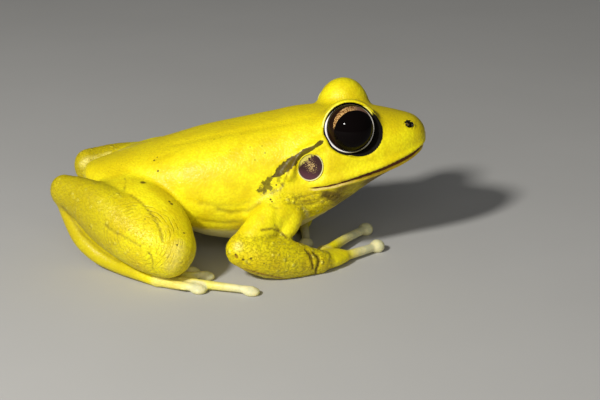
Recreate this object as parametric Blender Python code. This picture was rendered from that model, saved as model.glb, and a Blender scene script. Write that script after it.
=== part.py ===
"""Stony creek frog, a male in yellow breeding colours, sitting with legs folded: one solid for each part."""

import math

import bmesh
import bpy
import numpy as np

# Driving dimensions, in metres.
SNOUT_TO_VENT = 0.0414
GAP = 0.0003

# Every station below is in millimetres on a frog 41.4 mm from snout to vent. +X is the way the frog
# faces, +Y its left, and the floor is at height 0.
SNOUT_X = 22.65
VENT_X = -18.75
MM = SNOUT_TO_VENT / (SNOUT_X - VENT_X)
CLEARANCE = GAP / MM
BOX_CENTRE = (0.3, 0.0)

# Skin colours as linear RGB, with roughness.
YELLOW = (0.80, 0.68, 0.02)
CREAM = (0.78, 0.72, 0.42)
EYE_BLACK = (0.01, 0.008, 0.008)
DRUM_BROWN = (0.09, 0.04, 0.03)

# The trunk from vent to snout: x, half width, height of its widest level, of its top and of its underside.
TRUNK = [
    (-18.7, 0.8, 9.7, 10.2, 9.2),
    (-18.1, 2.0, 9.7, 10.8, 8.6),
    (-16.8, 3.2, 9.7, 11.3, 7.8),
    (-14.6, 4.4, 9.6, 12.0, 6.9),
    (-11.5, 5.7, 9.4, 13.0, 5.8),
    (-8.0, 6.9, 9.2, 14.1, 4.2),
    (-4.5, 7.6, 8.8, 15.2, 2.5),
    (-0.8, 7.6, 8.9, 16.1, 1.8),
    (3.9, 7.1, 9.5, 17.1, 2.0),
    (7.5, 6.9, 10.1, 17.9, 3.2),
    (9.7, 7.1, 10.4, 18.1, 4.6),
    (11.6, 6.9, 10.8, 18.2, 5.9),
    (13.5, 6.4, 11.2, 18.2, 7.3),
    (15.5, 5.8, 11.6, 18.1, 8.9),
    (17.6, 5.0, 12.0, 17.8, 10.2),
    (19.5, 4.05, 12.4, 17.45, 11.2),
    (20.6, 3.3, 12.8, 17.2, 11.8),
    (21.35, 2.65, 13.2, 16.9, 12.2),
    (21.85, 2.15, 13.5, 16.5, 12.7),
    (22.2, 1.65, 13.8, 16.1, 13.1),
    (22.45, 1.15, 14.1, 15.7, 13.5),
    (22.65, 0.5, 14.4, 15.1, 14.0),
]
TRUNK_SIDES = 32
NECK_X = 6.5
CROWDING = 0.85
CROWN_FULLNESS = 2.35
BELLY_FULLNESS = 2.0

# The mouth, from in front of the snout back to the jaw's corner and down behind the throat.
MOUTH_LINE = [(24.0, 14.3), (22.0, 13.75), (21.0, 13.35), (19.5, 12.9), (17.6, 12.4), (15.5, 11.85),
              (13.5, 11.3), (11.6, 10.8), (9.9, 10.4), (9.3, 9.6), (9.0, 7.0), (8.9, 0.0)]
THROAT_TOP = 10.0
JAW_INSET = 0.12

# The head leans a little to its right, so that the left eye is higher. Each eye has a dome of skin over
# and behind it, with an opening on the outer side that has a raised rim.
EYE_CENTRE = {-1: (13.45, 4.15, 16.7), 1: (12.85, 4.15, 17.1)}
EYE_RADIUS = 2.85
EYE_AIM = (0.16, 0.97, 0.02)
LID_RADII = {-1: (3.45, 2.75, 3.5), 1: (3.35, 2.75, 3.65)}
LID_INWARD = 0.75
LID_LOWER = 0.1
LID_OPENING = 3.25
LID_OPENING_FROM = 0.55
LID_RIM = (3.02, 0.36)
LID_RIM_OUT = 0.5

NOSTRIL = (20.5, 2.15, 16.5)
NOSTRIL_AIM = (0.35, 0.8, 0.45)
NOSTRIL_RADIUS = 0.28
NOSTRIL_DEPTH = 0.6

DRUM_CENTRE = (8.75, 6.75, 12.8)
DRUM_AIM = (0.06, 0.97, 0.22)
DRUM_RADIUS = 1.5
DRUM_THICKNESS = 0.6
DRUM_PROUD = 0.05

# The edge of the upper lip: x, y, z, half width, half height.
UPPER_LIP = [
    (10.4, 6.75, 11.3, 0.35, 0.4),
    (13.5, 6.2, 12.0, 0.4, 0.45),
    (17.6, 4.85, 12.7, 0.4, 0.45),
    (20.4, 3.1, 13.1, 0.35, 0.4),
    (21.8, 1.4, 13.9, 0.35, 0.35),
]

# The fold of skin from the eye over the eardrum to the shoulder: x, y, z, half width, half height.
EAR_FOLD = [
    (11.0, 5.2, 15.6, 0.4, 0.4),
    (9.3, 6.0, 15.0, 0.45, 0.45),
    (7.4, 6.5, 13.6, 0.5, 0.5),
    (6.3, 6.9, 11.8, 0.5, 0.5),
]

# Right arm, y outward: x, y, z, half width, half height.
UPPER_ARM = [
    (6.2, 4.4, 8.4, 2.5, 2.6),
    (4.5, 6.8, 6.9, 2.25, 2.4),
    (2.6, 8.9, 5.3, 1.95, 2.05),
    (0.8, 10.3, 4.0, 1.6, 1.7),
]
FOREARM = [
    (0.7, 10.7, 3.7, 1.7, 1.75),
    (2.8, 10.3, 3.0, 2.15, 2.3),
    (5.4, 9.4, 2.3, 2.25, 2.45),
    (8.0, 8.6, 1.7, 1.75, 1.85),
    (9.8, 8.0, 1.3, 1.3, 1.3),
]
PALM = [
    (9.9, 7.5, 1.2, 1.35, 1.15),
    (11.0, 6.2, 1.0, 1.8, 1.0),
    (12.1, 5.1, 0.9, 1.55, 0.85),
]
FINGERS = {
    "outer": [(11.8, 5.9, 0.9), (14.2, 4.0, 0.85), (17.0, 1.3, 0.65)],
    "third": [(11.3, 4.6, 1.0), (13.2, 0.6, 1.2), (15.95, -3.8, 0.7)],
    "second": [(10.9, 5.4, 0.8), (10.7, 4.0, 0.65), (10.4, 2.8, 0.65)],
    "inner": [(10.3, 6.0, 0.8), (9.5, 4.9, 0.65), (8.6, 4.1, 0.65)],
}
FINGER_RADII = (0.62, 0.48)
FINGER_DISC = (0.88, 0.58)

# Left arm, y outward: its elbow is farther back and its hand turned in under the chest.
LEFT_UPPER_ARM = [
    (5.0, 4.4, 8.3, 2.5, 2.6),
    (2.9, 6.9, 6.9, 2.25, 2.4),
    (0.7, 9.2, 5.3, 1.95, 2.05),
    (-1.3, 10.7, 4.1, 1.6, 1.7),
]
LEFT_FOREARM = [
    (-1.4, 11.1, 3.8, 1.7, 1.75),
    (0.6, 10.7, 3.1, 2.15, 2.3),
    (3.1, 9.9, 2.35, 2.25, 2.45),
    (5.7, 9.1, 1.75, 1.75, 1.85),
    (7.4, 8.5, 1.3, 1.3, 1.3),
]
LEFT_PALM = [
    (7.2, 8.3, 1.15, 1.25, 1.1),
    (7.6, 7.4, 0.95, 1.5, 1.0),
    (7.6, 6.4, 0.85, 1.35, 0.85),
]
LEFT_FINGERS = {
    "outer": [(7.9, 6.4, 0.85), (8.2, 3.2, 0.8), (8.3, -0.6, 0.65)],
    "third": [(7.3, 6.6, 0.85), (6.0, 3.8, 0.8), (4.5, 0.6, 0.65)],
    "second": [(6.9, 6.8, 0.8), (5.1, 5.0, 0.65), (3.4, 3.2, 0.65)],
    "inner": [(6.6, 7.2, 0.8), (5.3, 6.5, 0.65), (3.9, 5.9, 0.65)],
}

# Right leg, y outward: the thigh lies behind the shank, and the foot is folded under both.
THIGH = [
    (-15.2, 2.6, 8.5, 2.2, 2.2),
    (-12.8, 5.3, 8.2, 3.0, 2.9),
    (-10.2, 7.9, 7.5, 3.2, 3.2),
    (-8.0, 10.2, 6.3, 2.9, 2.9),
    (-6.9, 11.7, 5.0, 2.3, 2.5),
]
SHANK = [
    (-7.6, 13.2, 4.2, 2.2, 2.6),
    (-9.2, 12.5, 4.7, 2.6, 3.05),
    (-11.7, 10.9, 5.7, 2.8, 3.45),
    (-14.7, 8.8, 7.1, 2.7, 3.5),
    (-17.8, 6.4, 8.5, 2.15, 2.7),
    (-20.4, 4.8, 9.3, 1.6, 1.8),
]
TARSUS = [
    (-20.4, 4.5, 8.3, 1.25, 1.3),
    (-19.5, 5.0, 5.8, 1.2, 1.3),
    (-18.3, 5.7, 3.4, 1.2, 1.25),
    (-16.5, 6.6, 1.9, 1.25, 1.2),
    (-14.0, 8.0, 1.15, 1.35, 1.1),
    (-11.6, 9.8, 1.0, 1.5, 1.0),
    (-8.8, 11.6, 0.8, 1.6, 0.9),
]
TOES = {
    "fifth": [(-8.9, 12.4, 0.75), (-6.6, 13.5, 0.65), (-4.1, 14.3, 0.6)],
    "fourth": [(-8.7, 11.9, 0.75), (-3.6, 13.4, 0.7), (2.0, 14.9, 0.6)],
    "third": [(-8.7, 11.2, 0.75), (-5.8, 11.0, 0.65), (-3.4, 10.3, 0.6)],
    "second": [(-9.2, 10.8, 0.75), (-7.0, 10.0, 0.65), (-5.1, 9.0, 0.6)],
    "first": [(-9.9, 10.2, 0.75), (-8.8, 8.9, 0.65), (-7.9, 7.7, 0.6)],
}
TOE_RADII = (0.62, 0.45)
TOE_DISC = (0.8, 0.45)
PAD_FLAT = 0.12
WEB_THICKNESS = 0.5
WEB_REACH = 0.55

# How the left leg differs from the right one: it is set forward and sits higher on the hip.
LEFT_LEG_FORWARD = 1.7
LEFT_THIGH_RISE = 1.0

# How far the cutting shapes reach, well past the frog's skin or past the whole frog.
PAST_SKIN = 3.0
PAST_FROG = 40.0


def smooth_rows(table, count):
    """Rows of a station table carried to count rows on one smooth curve, evenly spaced along it."""
    rows = np.array(table, float)
    step = np.linalg.norm(np.diff(rows[:, :3], axis=0), axis=1)
    at = np.concatenate([[0.0], np.cumsum(step)])
    slope = np.gradient(rows, at, axis=0)
    want = np.linspace(0.0, at[-1], count)
    low = np.clip(np.searchsorted(at, want, side="right") - 1, 0, len(at) - 2)
    span = (at[low + 1] - at[low])[:, None]
    t = (want[:, None] - at[low][:, None]) / span
    near = (2 * t**3 - 3 * t**2 + 1) * rows[low] + (t**3 - 2 * t**2 + t) * span * slope[low]
    far = (3 * t**2 - 2 * t**3) * rows[low + 1] + (t**3 - t**2) * span * slope[low + 1]
    return near + far


def new_object(name, points, faces):
    """A mesh object of points in millimetres, its faces turned outward."""
    mesh = bpy.data.meshes.new(name)
    mesh.from_pydata([tuple(p) for p in np.asarray(points) * MM], [], faces)
    work = bmesh.new()
    work.from_mesh(mesh)
    bmesh.ops.recalc_face_normals(work, faces=work.faces)
    work.to_mesh(mesh)
    work.free()
    obj = bpy.data.objects.new(name, mesh)
    bpy.context.scene.collection.objects.link(obj)
    return obj


def closed_tube(name, rings, first, last):
    """Rings of points joined one to the next, and closed with a fan to the points first and last."""
    count, sides = rings.shape[:2]
    points = np.concatenate([rings.reshape(-1, 3), [first, last]])
    faces = []
    for i in range(count - 1):
        for j in range(sides):
            k = (j + 1) % sides
            faces.append((i * sides + j, i * sides + k, (i + 1) * sides + k, (i + 1) * sides + j))
    for j in range(sides):
        k = (j + 1) % sides
        faces.append((count * sides, k, j))
        faces.append((count * sides + 1, (count - 1) * sides + j, (count - 1) * sides + k))
    return new_object(name, points, faces)


def toward(start, end, count):
    """Stations from start to end that stand closer together toward the end, as a sine does near its top."""
    quarter = np.linspace(0.0, CROWDING * math.pi / 2, count)
    return start + (end - start) * np.sin(quarter) / math.sin(CROWDING * math.pi / 2)


def trunk(name, x, grow=0.0):
    """Body and head as upright sections at each x, with a flatter crown above and a round belly below."""
    rows = smooth_rows(TRUNK, 8 * len(TRUNK))
    half, side, top, under = (np.interp(x, rows[:, 0], rows[:, k]) for k in range(1, 5))
    angle = np.linspace(0.0, 2 * math.pi, TRUNK_SIDES, endpoint=False)
    fullness = np.where(np.sin(angle) > 0, CROWN_FULLNESS, BELLY_FULLNESS)
    across = np.sign(np.cos(angle)) * np.abs(np.cos(angle)) ** (2 / fullness)
    above = np.sign(np.sin(angle)) * np.abs(np.sin(angle)) ** (2 / fullness)
    y = (half + grow)[:, None] * across
    reach = np.where(np.sin(angle) > 0, (top - side + grow)[:, None], (side - under + grow)[:, None])
    z = side[:, None] + reach * above
    grid = np.stack([np.broadcast_to(x[:, None], y.shape), y, z], axis=2)
    return closed_tube(name, grid, (x[0], 0.0, side[0]), (x[-1], 0.0, side[-1]))


def limb(name, stations, rings=9, sides=12, grow=0.0, up=(0, 0, 1), caps=2):
    """A limb of oval section along its stations, square to its path, with rounded ends."""
    rows = smooth_rows(stations, rings)
    centre, half = rows[:, :3], rows[:, 3:5] + grow
    along = np.gradient(centre, axis=0)
    along /= np.linalg.norm(along, axis=1)[:, None]
    side = np.cross(along, up)
    side /= np.linalg.norm(side, axis=1)[:, None]
    high = np.cross(side, along)
    angle = np.linspace(0.0, 2 * math.pi, sides, endpoint=False)

    def ring(i, scale, shift):
        across = np.cos(angle)[:, None] * side[i] * half[i, 0]
        above = np.sin(angle)[:, None] * high[i] * half[i, 1]
        return centre[i] + shift * along[i] + (across + above) * scale

    last = rings - 1
    lean = [math.pi / 2 * (k + 1) / (caps + 1) for k in range(caps)]
    start = [ring(0, math.sin(a), -half[0].mean() * math.cos(a)) for a in lean]
    middle = [ring(i, 1.0, 0.0) for i in range(rings)]
    end = [ring(last, math.sin(a), half[last].mean() * math.cos(a)) for a in reversed(lean)]
    return closed_tube(
        name,
        np.array(start + middle + end),
        centre[0] - along[0] * half[0].mean(),
        centre[last] + along[last] * half[last].mean(),
    )


def ball(name, centre, radii, segments=20, rings=12):
    """An ellipsoid with its poles up and down."""
    turn = np.linspace(0.0, 2 * math.pi, segments, endpoint=False)
    lean = np.linspace(0.0, math.pi, rings + 1)[1:-1]
    unit = np.stack(
        [np.outer(np.sin(lean), np.cos(turn)), np.outer(np.sin(lean), np.sin(turn)),
         np.outer(np.cos(lean), np.ones(segments))], axis=2)
    grid = np.array(centre) + unit * np.array(radii)
    pole = np.array([0.0, 0.0, radii[2]])
    return closed_tube(name, grid, centre + pole, centre - pole)


def rod(name, start, end, radius, sides=16):
    """A round bar from one point to the other."""
    start, end = np.array(start, float), np.array(end, float)
    along = (end - start) / np.linalg.norm(end - start)
    side = np.cross(along, (0.3, 0.1, 1.0))
    side /= np.linalg.norm(side)
    high = np.cross(side, along)
    angle = np.linspace(0.0, 2 * math.pi, sides, endpoint=False)[:, None]
    outline = radius * (np.cos(angle) * side + np.sin(angle) * high)
    return closed_tube(name, np.array([start + outline, end + outline]), start, end)


def ring_bead(name, centre, aim, radius, bead, turns=18, sides=5):
    """A round bead bent into a ring that faces along aim."""
    aim = np.array(aim) / np.linalg.norm(aim)
    side = np.cross(aim, (0, 0, 1))
    side /= np.linalg.norm(side)
    high = np.cross(side, aim)
    points, faces = [], []
    for i in range(turns):
        a = 2 * math.pi * i / turns
        out = math.cos(a) * side + math.sin(a) * high
        for j in range(sides):
            b = 2 * math.pi * j / sides
            points.append(np.array(centre) + out * (radius + bead * math.cos(b)) + aim * bead * math.sin(b))
            k, m = (i + 1) % turns, (j + 1) % sides
            faces.append((i * sides + j, k * sides + j, k * sides + m, i * sides + m))
    return new_object(name, points, faces)


def slab(name, outline, half_width):
    """A prism across the body: an outline of (x, z) carried from one side to the other."""
    count = len(outline)
    points = [(x, y, z) for y in (-half_width, half_width) for x, z in outline]
    faces = [tuple(range(count)), tuple(range(2 * count - 1, count - 1, -1))]
    faces += [(i, i + count, (i + 1) % count + count, (i + 1) % count) for i in range(count)]
    return new_object(name, points, faces)


def largest_body(mesh):
    """Keeps the largest closed surface of a mesh and drops loose scraps."""
    work = bmesh.new()
    work.from_mesh(mesh)
    work.faces.ensure_lookup_table()
    group = {}
    bodies = []
    for face in work.faces:
        if face in group:
            continue
        found, stack = [], [face]
        group[face] = len(bodies)
        while stack:
            here = stack.pop()
            found.append(here)
            for edge in here.edges:
                for other in edge.link_faces:
                    if other not in group:
                        group[other] = len(bodies)
                        stack.append(other)
        bodies.append(found)
    bodies.sort(key=lambda found: sum(f.calc_area() for f in found), reverse=True)
    scraps = [face for found in bodies[1:] for face in found]
    bmesh.ops.delete(work, geom=scraps, context="FACES")
    work.to_mesh(mesh)
    work.free()


def boolean(obj, others, operation):
    """One Boolean of obj with all the others, applied; the others are then removed."""
    if not others:
        return obj
    tools = bpy.data.collections.new("tools")
    bpy.context.scene.collection.children.link(tools)
    for other in others:
        tools.objects.link(other)
    step = obj.modifiers.new(operation.title(), "BOOLEAN")
    step.operand_type = "COLLECTION"
    step.collection = tools
    step.operation = operation
    step.solver = "EXACT"
    graph = bpy.context.evaluated_depsgraph_get()
    mesh = bpy.data.meshes.new_from_object(obj.evaluated_get(graph))
    obj.modifiers.clear()
    obj.data = mesh
    for other in others:
        bpy.data.objects.remove(other)
    bpy.data.collections.remove(tools)
    largest_body(mesh)
    return obj


def fuse(obj, others):
    return boolean(obj, others, "UNION")


def carve(obj, others):
    return boolean(obj, others, "DIFFERENCE")


def block(name, x_low, x_high, z_low, z_high):
    """A box right across the body between two x and two heights."""
    return slab(name, [(x_low, z_low), (x_high, z_low), (x_high, z_high), (x_low, z_high)], PAST_FROG)


def floor_block():
    """All that lies under the floor."""
    return block("floor_block", -PAST_FROG, PAST_FROG, -PAST_FROG, 0.0)


def sided(table, sign, forward=0.0, rise=0.0):
    """A station table whose y points outward, put on the left (sign 1) or right (sign -1) side."""
    rows = [list(row) for row in table]
    for row in rows:
        row[0] += forward
        row[1] *= sign
        row[2] += rise
    return rows


def finish(obj, name, colour, roughness):
    """Names the node, gives it its material and moves the frog's box centre to the origin."""
    obj.name = obj.data.name = name
    paint = bpy.data.materials.new(name)
    paint.use_nodes = True
    shader = paint.node_tree.nodes["Principled BSDF"]
    shader.inputs["Base Color"].default_value = (*colour, 1.0)
    shader.inputs["Roughness"].default_value = roughness
    obj.data.materials.clear()
    obj.data.materials.append(paint)
    obj.data.shade_smooth()
    obj.data.set_sharp_from_angle(angle=math.radians(40))
    obj.location = (-BOX_CENTRE[0] * MM, -BOX_CENTRE[1] * MM, 0.0)
    return obj


# Body

def body_shape(grow=0.0):
    return trunk("body_shape", toward(NECK_X + grow, VENT_X - grow, 20)[::-1], grow)


def neck_fold(sign, grow=0.0):
    return limb("fold", sided(EAR_FOLD, sign), rings=7, sides=6, grow=grow, caps=1)


def make_torso():
    torso = body_shape()
    return finish(torso, "torso", YELLOW, 0.45)


# Head, jaw, eyes and eardrums

def head_shape(grow=0.0):
    return trunk("head_shape", toward(NECK_X + CLEARANCE - grow, SNOUT_X + grow, 24), grow)


def below_mouth():
    """The jaw's room: all that lies below the mouth line and in front of its end behind the throat."""
    front, back = MOUTH_LINE[0][0], MOUTH_LINE[-1][0]
    return slab("below_mouth", MOUTH_LINE + [(back, -PAST_FROG), (front, -PAST_FROG)], PAST_FROG)


def above_mouth():
    """All that the jaw stays clear of: the head above the mouth line and the throat behind it."""
    line = [(x + (CLEARANCE if z < THROAT_TOP else 0.0), z - CLEARANCE) for x, z in MOUTH_LINE]
    back, front = (-PAST_FROG, line[-1][1]), (line[0][0], PAST_FROG)
    return slab("above_mouth", line + [back, (-PAST_FROG, PAST_FROG), front], PAST_FROG)


def eye_place(sign):
    x, y, z = EYE_CENTRE[sign]
    return np.array([x, sign * y, z])


def aimed(direction, sign):
    """A direction given for the left side, put on either side and made one long."""
    aim = np.array([direction[0], sign * direction[1], direction[2]])
    return aim / np.linalg.norm(aim)


def drum_rod(sign, radius, depth_in, depth_out):
    """A short bar through the eardrum's place, square to the side of the head."""
    centre = np.array([DRUM_CENTRE[0], sign * DRUM_CENTRE[1], DRUM_CENTRE[2]])
    out = aimed(DRUM_AIM, sign)
    return rod("drum", centre - out * depth_in, centre + out * depth_out, radius)


def make_head():
    head = head_shape()
    additions, cuts = [], []
    for sign in (-1, 1):
        centre, aim = eye_place(sign), aimed(EYE_AIM, sign)
        lid = ball("lid", centre - (0.0, sign * LID_INWARD, LID_LOWER), LID_RADII[sign], 24, 12)
        opening_end = centre + aim * (EYE_RADIUS + PAST_SKIN)
        carve(lid, [rod("opening", centre + aim * LID_OPENING_FROM, opening_end, LID_OPENING, 24)])
        additions.append(lid)
        additions.append(ring_bead("lid_rim", centre + aim * LID_RIM_OUT, aim, *LID_RIM))
        additions.append(limb("lip", sided(UPPER_LIP, sign), rings=10, sides=6, caps=1))
        additions.append(neck_fold(sign))
        cuts.append(ball("socket", centre, (EYE_RADIUS + CLEARANCE,) * 3, 18, 10))
        nose = np.array([NOSTRIL[0], sign * NOSTRIL[1], NOSTRIL[2]])
        out = aimed(NOSTRIL_AIM, sign)
        cuts.append(rod("nostril", nose - out * NOSTRIL_DEPTH, nose + out * PAST_SKIN, NOSTRIL_RADIUS, 12))
        cuts.append(drum_rod(sign, DRUM_RADIUS + CLEARANCE, DRUM_THICKNESS + CLEARANCE, PAST_SKIN))
    fuse(head, additions)
    carve(head, cuts)
    carve(head, [block("behind_neck", -PAST_FROG, NECK_X + CLEARANCE, -PAST_FROG, PAST_FROG)])
    carve(head, [below_mouth()])
    return finish(head, "head", YELLOW, 0.45)


def make_jaw():
    jaw = trunk("jaw", toward(NECK_X, SNOUT_X - JAW_INSET, 24), -JAW_INSET)
    carve(jaw, [above_mouth()])
    return finish(jaw, "lower_jaw", CREAM, 0.5)


def make_eye(sign, side):
    eye = ball("eye", eye_place(sign), (EYE_RADIUS,) * 3, 18, 10)
    return finish(eye, "eye_" + side, EYE_BLACK, 0.05)


def make_drum(sign, side):
    drum = drum_rod(sign, DRUM_RADIUS, DRUM_THICKNESS, DRUM_PROUD)
    return finish(drum, "eardrum_" + side, DRUM_BROWN, 0.5)


# Limbs

def arm_tables(sign):
    if sign < 0:
        return sided(UPPER_ARM, sign), sided(FOREARM, sign), sided(PALM, sign), FINGERS
    return (sided(LEFT_UPPER_ARM, sign), sided(LEFT_FOREARM, sign), sided(LEFT_PALM, sign), LEFT_FINGERS)


def digit(name, path, sign, radii, disc, forward=0.0):
    """A finger or toe that tapers along its path, and the round pad at its tip."""
    path = sided(path, sign, forward)
    count = len(path)
    rows = [(*p, *([radii[0] + (radii[1] - radii[0]) * i / (count - 1)] * 2)) for i, p in enumerate(path)]
    finger = limb(name, rows, rings=5, sides=7, caps=1)
    tip = np.array(path[-1])
    pad = ball(name + "_pad", (tip[0], tip[1], disc[1]), (disc[0], disc[0], disc[1] + PAD_FLAT), 9, 5)
    return [finger, pad]


def make_arm(sign, side):
    upper, fore, palm, fingers = arm_tables(sign)
    upper_arm = limb("upper_arm", upper)
    carve(upper_arm, [body_shape(CLEARANCE), head_shape(CLEARANCE)])
    forearm = limb("forearm", fore, rings=11, sides=14)
    carve(forearm, [limb("cut", upper, grow=CLEARANCE), body_shape(CLEARANCE), floor_block()])
    hand = limb("hand", palm, rings=4, sides=10)
    pieces = []
    for name, path in fingers.items():
        pieces += digit(name, path, sign, FINGER_RADII, FINGER_DISC)
    fuse(hand, pieces)
    carve(hand, [limb("cut", fore, rings=11, sides=14, grow=CLEARANCE), floor_block()])
    finish(upper_arm, "upper_arm_" + side, YELLOW, 0.45)
    finish(forearm, "forearm_" + side, YELLOW, 0.45)
    finish(hand, "hand_" + side, CREAM, 0.5)


def web(name, first, second, sign, forward):
    """The skin between two toes, a thin wedge from their roots to part of the way along them."""
    a = np.array(sided(first, sign, forward))
    b = np.array(sided(second, sign, forward))
    reach_a = a[0] + (a[2] - a[0]) * WEB_REACH
    reach_b = b[0] + (b[2] - b[0]) * WEB_REACH
    middle = (reach_a + reach_b) / 2 * 0.6 + (a[0] + b[0]) / 2 * 0.4
    outline = [a[0], reach_a, middle, reach_b, b[0]]
    low, high = 0.25, 0.25 + WEB_THICKNESS
    points = [(p[0], p[1], z) for z in (low, high) for p in outline]
    count = len(outline)
    faces = [tuple(range(count)), tuple(range(2 * count - 1, count - 1, -1))]
    faces += [(i, i + count, (i + 1) % count + count, (i + 1) % count) for i in range(count)]
    return new_object(name, points, faces)


def make_leg(sign, side):
    forward = LEFT_LEG_FORWARD if sign > 0 else 0.0
    rise = LEFT_THIGH_RISE if sign > 0 else 0.0
    thigh_rows = sided(THIGH, sign, forward, rise)
    shank_rows = sided(SHANK, sign, forward)
    tarsus_rows = sided(TARSUS, sign, forward)
    thigh = limb("thigh", thigh_rows, rings=10, sides=16, caps=3)
    carve(thigh, [body_shape(CLEARANCE)])
    shank = limb("shank", shank_rows, rings=11, sides=16, caps=3)
    carve(shank, [limb("cut", thigh_rows, 10, 16, CLEARANCE, caps=3), body_shape(CLEARANCE)])
    foot = limb("foot", tarsus_rows, rings=12, sides=12)
    pieces = []
    for name, path in TOES.items():
        pieces += digit(name, path, sign, TOE_RADII, TOE_DISC, forward)
    names = list(TOES)
    for one, two in zip(names, names[1:]):
        pieces.append(web("web", TOES[one], TOES[two], sign, forward))
    fuse(foot, pieces)
    thigh_cut = limb("thigh_cut", thigh_rows, 10, 16, CLEARANCE, caps=3)
    shank_cut = limb("shank_cut", shank_rows, 11, 16, CLEARANCE, caps=3)
    carve(foot, [thigh_cut, shank_cut, body_shape(CLEARANCE), floor_block()])
    finish(thigh, "thigh_" + side, YELLOW, 0.45)
    finish(shank, "shank_" + side, YELLOW, 0.45)
    finish(foot, "foot_" + side, CREAM, 0.5)


for old in list(bpy.data.objects):
    bpy.data.objects.remove(old)
make_torso()
make_head()
make_jaw()
for sign, side in ((-1, "right"), (1, "left")):
    make_eye(sign, side)
    make_drum(sign, side)
    make_arm(sign, side)
    make_leg(sign, side)
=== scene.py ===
"""A male stony creek frog in yellow breeding colours, sitting: skin, eyes and eardrums over its solids."""

import math

import bpy
import numpy as np
from mathutils import Matrix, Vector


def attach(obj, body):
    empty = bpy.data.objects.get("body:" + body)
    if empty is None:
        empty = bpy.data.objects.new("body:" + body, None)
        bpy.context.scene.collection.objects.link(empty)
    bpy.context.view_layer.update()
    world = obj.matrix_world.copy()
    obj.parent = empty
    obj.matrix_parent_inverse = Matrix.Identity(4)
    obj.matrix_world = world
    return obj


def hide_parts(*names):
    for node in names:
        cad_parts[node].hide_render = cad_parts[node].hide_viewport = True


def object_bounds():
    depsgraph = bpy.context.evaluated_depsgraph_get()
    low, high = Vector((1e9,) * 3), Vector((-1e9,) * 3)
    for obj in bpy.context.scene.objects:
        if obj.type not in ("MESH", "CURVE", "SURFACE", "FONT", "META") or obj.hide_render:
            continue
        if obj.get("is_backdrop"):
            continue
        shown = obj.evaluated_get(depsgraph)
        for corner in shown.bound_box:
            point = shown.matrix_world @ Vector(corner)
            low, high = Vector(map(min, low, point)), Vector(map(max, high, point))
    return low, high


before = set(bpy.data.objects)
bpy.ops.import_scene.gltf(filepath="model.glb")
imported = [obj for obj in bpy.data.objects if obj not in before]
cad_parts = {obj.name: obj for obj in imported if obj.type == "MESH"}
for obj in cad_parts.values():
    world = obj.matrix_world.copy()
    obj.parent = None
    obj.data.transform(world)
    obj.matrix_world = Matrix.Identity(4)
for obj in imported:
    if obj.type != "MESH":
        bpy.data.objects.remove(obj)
solid_low, solid_high = (list(corner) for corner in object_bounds())

# Trunk and head
# The body under its skin, from vent to snout. Sizes are in millimetres from under the middle of the
# frog, with +X the way it faces and the floor at 0. The solids' length gives the scale.

FROG_LENGTH = 44.7
MM = (solid_high[0] - solid_low[0]) / FROG_LENGTH
MIDDLE = np.array([0.3, 0.0, 0.0])
SIDES = (-1, 1)

# x, half width, height of the widest level, of the top and of the underside
TRUNK = [
    (-18.7, 0.8, 9.7, 10.2, 9.2), (-18.1, 2.0, 9.7, 10.8, 8.6), (-16.8, 3.2, 9.7, 11.3, 7.8),
    (-14.6, 4.4, 9.6, 12.0, 6.9), (-11.5, 5.7, 9.4, 13.0, 5.8), (-8.0, 6.9, 9.2, 14.1, 4.2),
    (-4.5, 7.6, 8.8, 15.2, 2.5), (-0.8, 7.6, 8.9, 16.1, 1.8), (3.9, 7.1, 9.5, 17.1, 2.0),
    (7.5, 6.9, 10.1, 17.9, 3.2), (9.7, 7.1, 10.4, 18.1, 4.6), (11.6, 6.9, 10.8, 18.2, 5.9),
    (13.5, 6.4, 11.2, 18.2, 7.3), (15.5, 5.8, 11.6, 18.1, 8.9), (17.6, 5.0, 12.0, 17.8, 10.2),
    (19.5, 4.05, 12.4, 17.45, 11.2), (20.6, 3.3, 12.8, 17.2, 11.8), (21.35, 2.65, 13.2, 16.9, 12.2),
    (21.85, 2.15, 13.5, 16.5, 12.7), (22.2, 1.65, 13.8, 16.1, 13.1), (22.45, 1.15, 14.1, 15.7, 13.5),
    (22.65, 0.5, 14.4, 15.1, 14.0),
]
CROWN_FULLNESS = 2.35
BELLY_FULLNESS = 2.0
SNOUT_TIP = 22.68
SNOUT_ROUNDING = 0.25
VENT_TIP = -18.9
VENT_ROUNDING = 0.9
SLOPE_STEP = 0.05
FAR = 9.0


def smooth_rows(table, count):
    """Rows of a station table carried to count rows on one smooth cubic curve, evenly spaced along it."""
    rows = np.array(table, float)
    step = np.linalg.norm(np.diff(rows[:, :3], axis=0), axis=1)
    at = np.concatenate([[0.0], np.cumsum(step)])
    slope = np.gradient(rows, at, axis=0)
    want = np.linspace(0.0, at[-1], count)
    low = np.clip(np.searchsorted(at, want, side="right") - 1, 0, len(at) - 2)
    span = (at[low + 1] - at[low])[:, None]
    t = (want[:, None] - at[low][:, None]) / span
    near = (2 * t**3 - 3 * t**2 + 1) * rows[low] + (t**3 - 2 * t**2 + t) * span * slope[low]
    return near + (3 * t**2 - 2 * t**3) * rows[low + 1] + (t**3 - t**2) * span * slope[low + 1]


def blend(one, two, width):
    """Two distances as one form with a fillet: the smaller, less up to width / 4 where they are equal."""
    mix = np.clip(0.5 + 0.5 * (two - one) / width, 0.0, 1.0)
    return two + (one - two) * mix - width * mix * (1.0 - mix)


def cut(one, two, width):
    """The first form less the second, its edge rounded over width."""
    return -blend(-one, two, width)


TRUNK_ROWS = smooth_rows(TRUNK, 160)


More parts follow.
